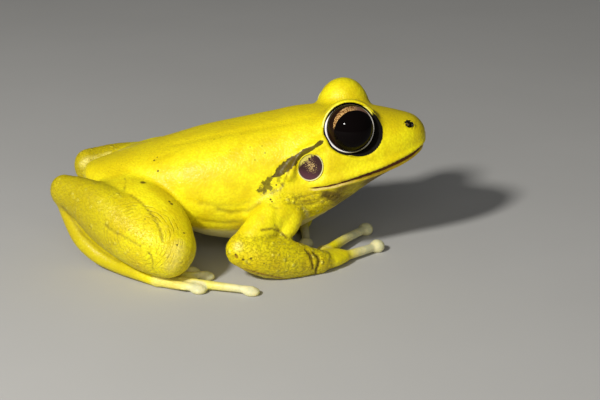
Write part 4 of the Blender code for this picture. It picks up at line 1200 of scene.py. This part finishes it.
turn = ring_turns(ROLL_TURNS)
sunk = round_bump(turn, *LID_EDGE_SUNK)
lid_thickness = LID_EDGE_THICKNESS + 0.02 * np.sin(turn) + swellings(turn, LID_EDGE_SWELLINGS) - 0.05 * sunk
low = np.repeat(eased(-np.sin(turn), 0.0, 0.6), ROLL_SIDES)
white_thickness = WHITE_EDGE_THICKNESS + swellings(turn, WHITE_EDGE_SWELLINGS)
dull = np.repeat(np.clip(1.0 - swellings(turn, WHITE_EDGE_BRIGHT), 0.0, 1.0), ROLL_SIDES)
for side, name in zip(SIDES, ("right", "left")):
    axes = facing_axes(LID_AIM, side)
    centre = EYE_CENTRE[side] + LID_OPENING_SHIFT[0] * axes[1] + LID_OPENING_SHIFT[1] * axes[2]
    points, faces = roll(centre, axes, LID_OPENING[side] + LID_EDGE_OUTSIDE, LID_EDGE_ROLL_OUT - sunk,
                         lid_thickness)
    new_piece("lid_edge_" + name, points, faces, [], edge, {"low": low})
    axes = facing_axes(WHITE_EDGE_AIM, side)
    points, faces = roll(EYE_CENTRE[side], axes, *WHITE_EDGE_RING, white_thickness)
    new_piece("white_edge_" + name, points, faces, [], white, {"dull": dull})

# Eardrums
# A thin brown-purple membrane sunk a little inside a fine pale ring, slightly hollow, with golden flecks
# that run in from its upper back.

DRUM_SUNK = 0.12
DRUM_SIDES = 96
DRUM_THICKNESS = 0.25
DRUM_RING = 0.05
DRUM_BROWN = (0.022, 0.007, 0.006)
DRUM_PURPLE = (0.060, 0.020, 0.022)
DRUM_ROSE = (0.085, 0.024, 0.035)
DRUM_GOLD = (0.50, 0.34, 0.13)

drum = Paint("eardrum_skin", None)
drum_fleck = drum.noise(0.12, 2.0, 0.6)
drum.colour = drum.mix(drum.noise(0.4, 3.0), DRUM_BROWN, DRUM_PURPLE)
drum.cover(drum.ease(drum.mark("long"), -0.2, -1.3), DRUM_ROSE)
golden = drum.ease(drum.plus(drum.times(drum.mark("patch"), 0.17), drum_fleck), 0.645, 0.67)
drum.cover(drum.times(golden, drum.ease(drum.mark("patch"), 0.0, 0.25)), DRUM_GOLD)
drum.cover(drum.ease(drum.plus(drum.mark("by_fold"), drum_fleck, 1.2), 1.42, 1.62), (0.62, 0.54, 0.10))
rim_colour = drum.mix(drum.ease(drum.mark("by_fold"), 0.3, 0.9), (0.88, 0.82, 0.40), (0.80, 0.70, 0.02))
drum.cover(drum.ease(drum.mark("rim"), 0.955, 0.985), rim_colour)
drum.finish(Normal=drum.bump(drum_fleck, 0.02), Roughness=0.5, Specular_IOR_Level=0.3)

spread = np.concatenate([np.linspace(0.0, 0.9, 22)[1:], np.linspace(0.92, 1.07, 13)])
height = -DRUM_SUNK - 0.08 * (1 - spread**2) + 0.06 * np.exp(-((spread / 0.22) ** 2))
height = height + (DRUM_RING + DRUM_SUNK) * np.exp(-(((spread - 1.02) / 0.04) ** 2))
for side, name in zip(SIDES, ("right", "left")):
    aim, short, long = drum_axes(side)
    turn = ring_turns(DRUM_SIDES)[:, None]
    flat = np.cos(turn) * short * DRUM_RADII[0] + np.sin(turn) * long * DRUM_RADII[1]
    front = spread[:, None, None] * flat + height[:, None, None] * aim
    offset = np.concatenate([front.reshape(-1, 3), (front[::-1] - DRUM_THICKNESS * aim).reshape(-1, 3),
                             [-(DRUM_SUNK + 0.02) * aim, -(DRUM_SUNK + 0.02 + DRUM_THICKNESS) * aim]])
    rim = np.hypot(offset @ short / DRUM_RADII[0], offset @ long / DRUM_RADII[1])
    aim, forward, up = facing_axes(DRUM_AIM, side)
    trail = np.array([-0.55 * forward + 0.95 * up, 0.2 * up, 0.15 * forward - 0.05 * up])
    patch = 1.0 - line_gap(offset - (offset @ aim)[:, None] * aim, trail) / 0.85
    by_fold = -0.63 * (offset @ forward) + 0.77 * (offset @ up)
    faces = turned_out(round_grid(2 * len(spread), DRUM_SIDES), offset)
    new_piece("membrane_" + name, mirrored(DRUM_CENTRE, side) + offset, faces, ["eardrum_" + name],
              drum, {"long": offset @ long, "rim": rim, "patch": patch, "by_fold": by_fold})

# Floor
# A plain pale floor, three metres wide, which is no part of the frog. It is matt and faintly cloudy.

FLOOR_HALF = 1.5

floor_mesh = bpy.data.meshes.new("floor")
corners = [(FLOOR_HALF * u, FLOOR_HALF * v, 0.0) for u, v in ((-1, -1), (1, -1), (1, 1), (-1, 1))]
floor_mesh.from_pydata(corners, [], [(0, 1, 2, 3)])
ground = Paint("floor", (0.47, 0.465, 0.45))
ground.cover(ground.noise(25.0, 3.0), (0.51, 0.505, 0.49))
ground.finish(Roughness=0.85)
floor_mesh.materials.append(ground.material)
floor = bpy.data.objects.new("floor", floor_mesh)
bpy.context.scene.collection.objects.link(floor)
floor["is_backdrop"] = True

# Lights and camera
# A soft lamp from the upper left in front, a very wide one from the front, which gloss doesn't show, and
# the photograph's view.

TARGET = np.array([7.26 * MM, 0.0, 6.2 * MM])
CAMERA_LIFT = math.radians(20)
CAMERA_DISTANCE = 210 * MM
LENS = 103.3
SKY = (0.80, 0.82, 0.85, 1.0)
SKY_STRENGTH = 0.08


def aimed(name, data, place):
    """A lamp or camera at place that looks at the frog."""
    thing = bpy.data.objects.new(name, data)
    back = unit(place - TARGET)
    right = unit(np.cross((0.0, 0.0, 1.0), back))
    up = np.cross(back, right)
    thing.matrix_world = Matrix([[right[k], up[k], back[k], place[k]] for k in range(3)] + [[0, 0, 0, 1]])
    bpy.context.scene.collection.objects.link(thing)
    return thing


def soft_lamp(name, direction, distance, width, power, colour):
    lamp = bpy.data.lights.new(name, "AREA")
    lamp.shape = "DISK"
    lamp.size = width
    lamp.energy = power
    lamp.color = colour
    return aimed(name, lamp, TARGET + unit(direction) * distance)


soft_lamp("key_lamp", (-0.449, -0.665, 0.594), distance=0.30, width=0.035, power=0.85,
          colour=(1.0, 0.98, 0.94))
wide_lamp = soft_lamp("wide_lamp", (0.0, -0.94, 0.32), distance=1.0, width=1.0, power=3.8,
                      colour=(1.0, 0.99, 0.96))
wide_lamp.visible_glossy = False
world = bpy.context.scene.world or bpy.data.worlds.new("world")
bpy.context.scene.world = world
world.use_nodes = True
world.node_tree.nodes["Background"].inputs["Color"].default_value = SKY
world.node_tree.nodes["Background"].inputs["Strength"].default_value = SKY_STRENGTH

lens = bpy.data.cameras.new("camera")
lens.sensor_width = 36.0
lens.lens = LENS
lens.clip_start = 0.01
lens.clip_end = 10.0
camera_offset = np.array([0.0, -math.cos(CAMERA_LIFT), math.sin(CAMERA_LIFT)]) * CAMERA_DISTANCE
bpy.context.scene.camera = aimed("camera", lens, TARGET + camera_offset)
bpy.context.scene.view_settings.view_transform = "Standard"
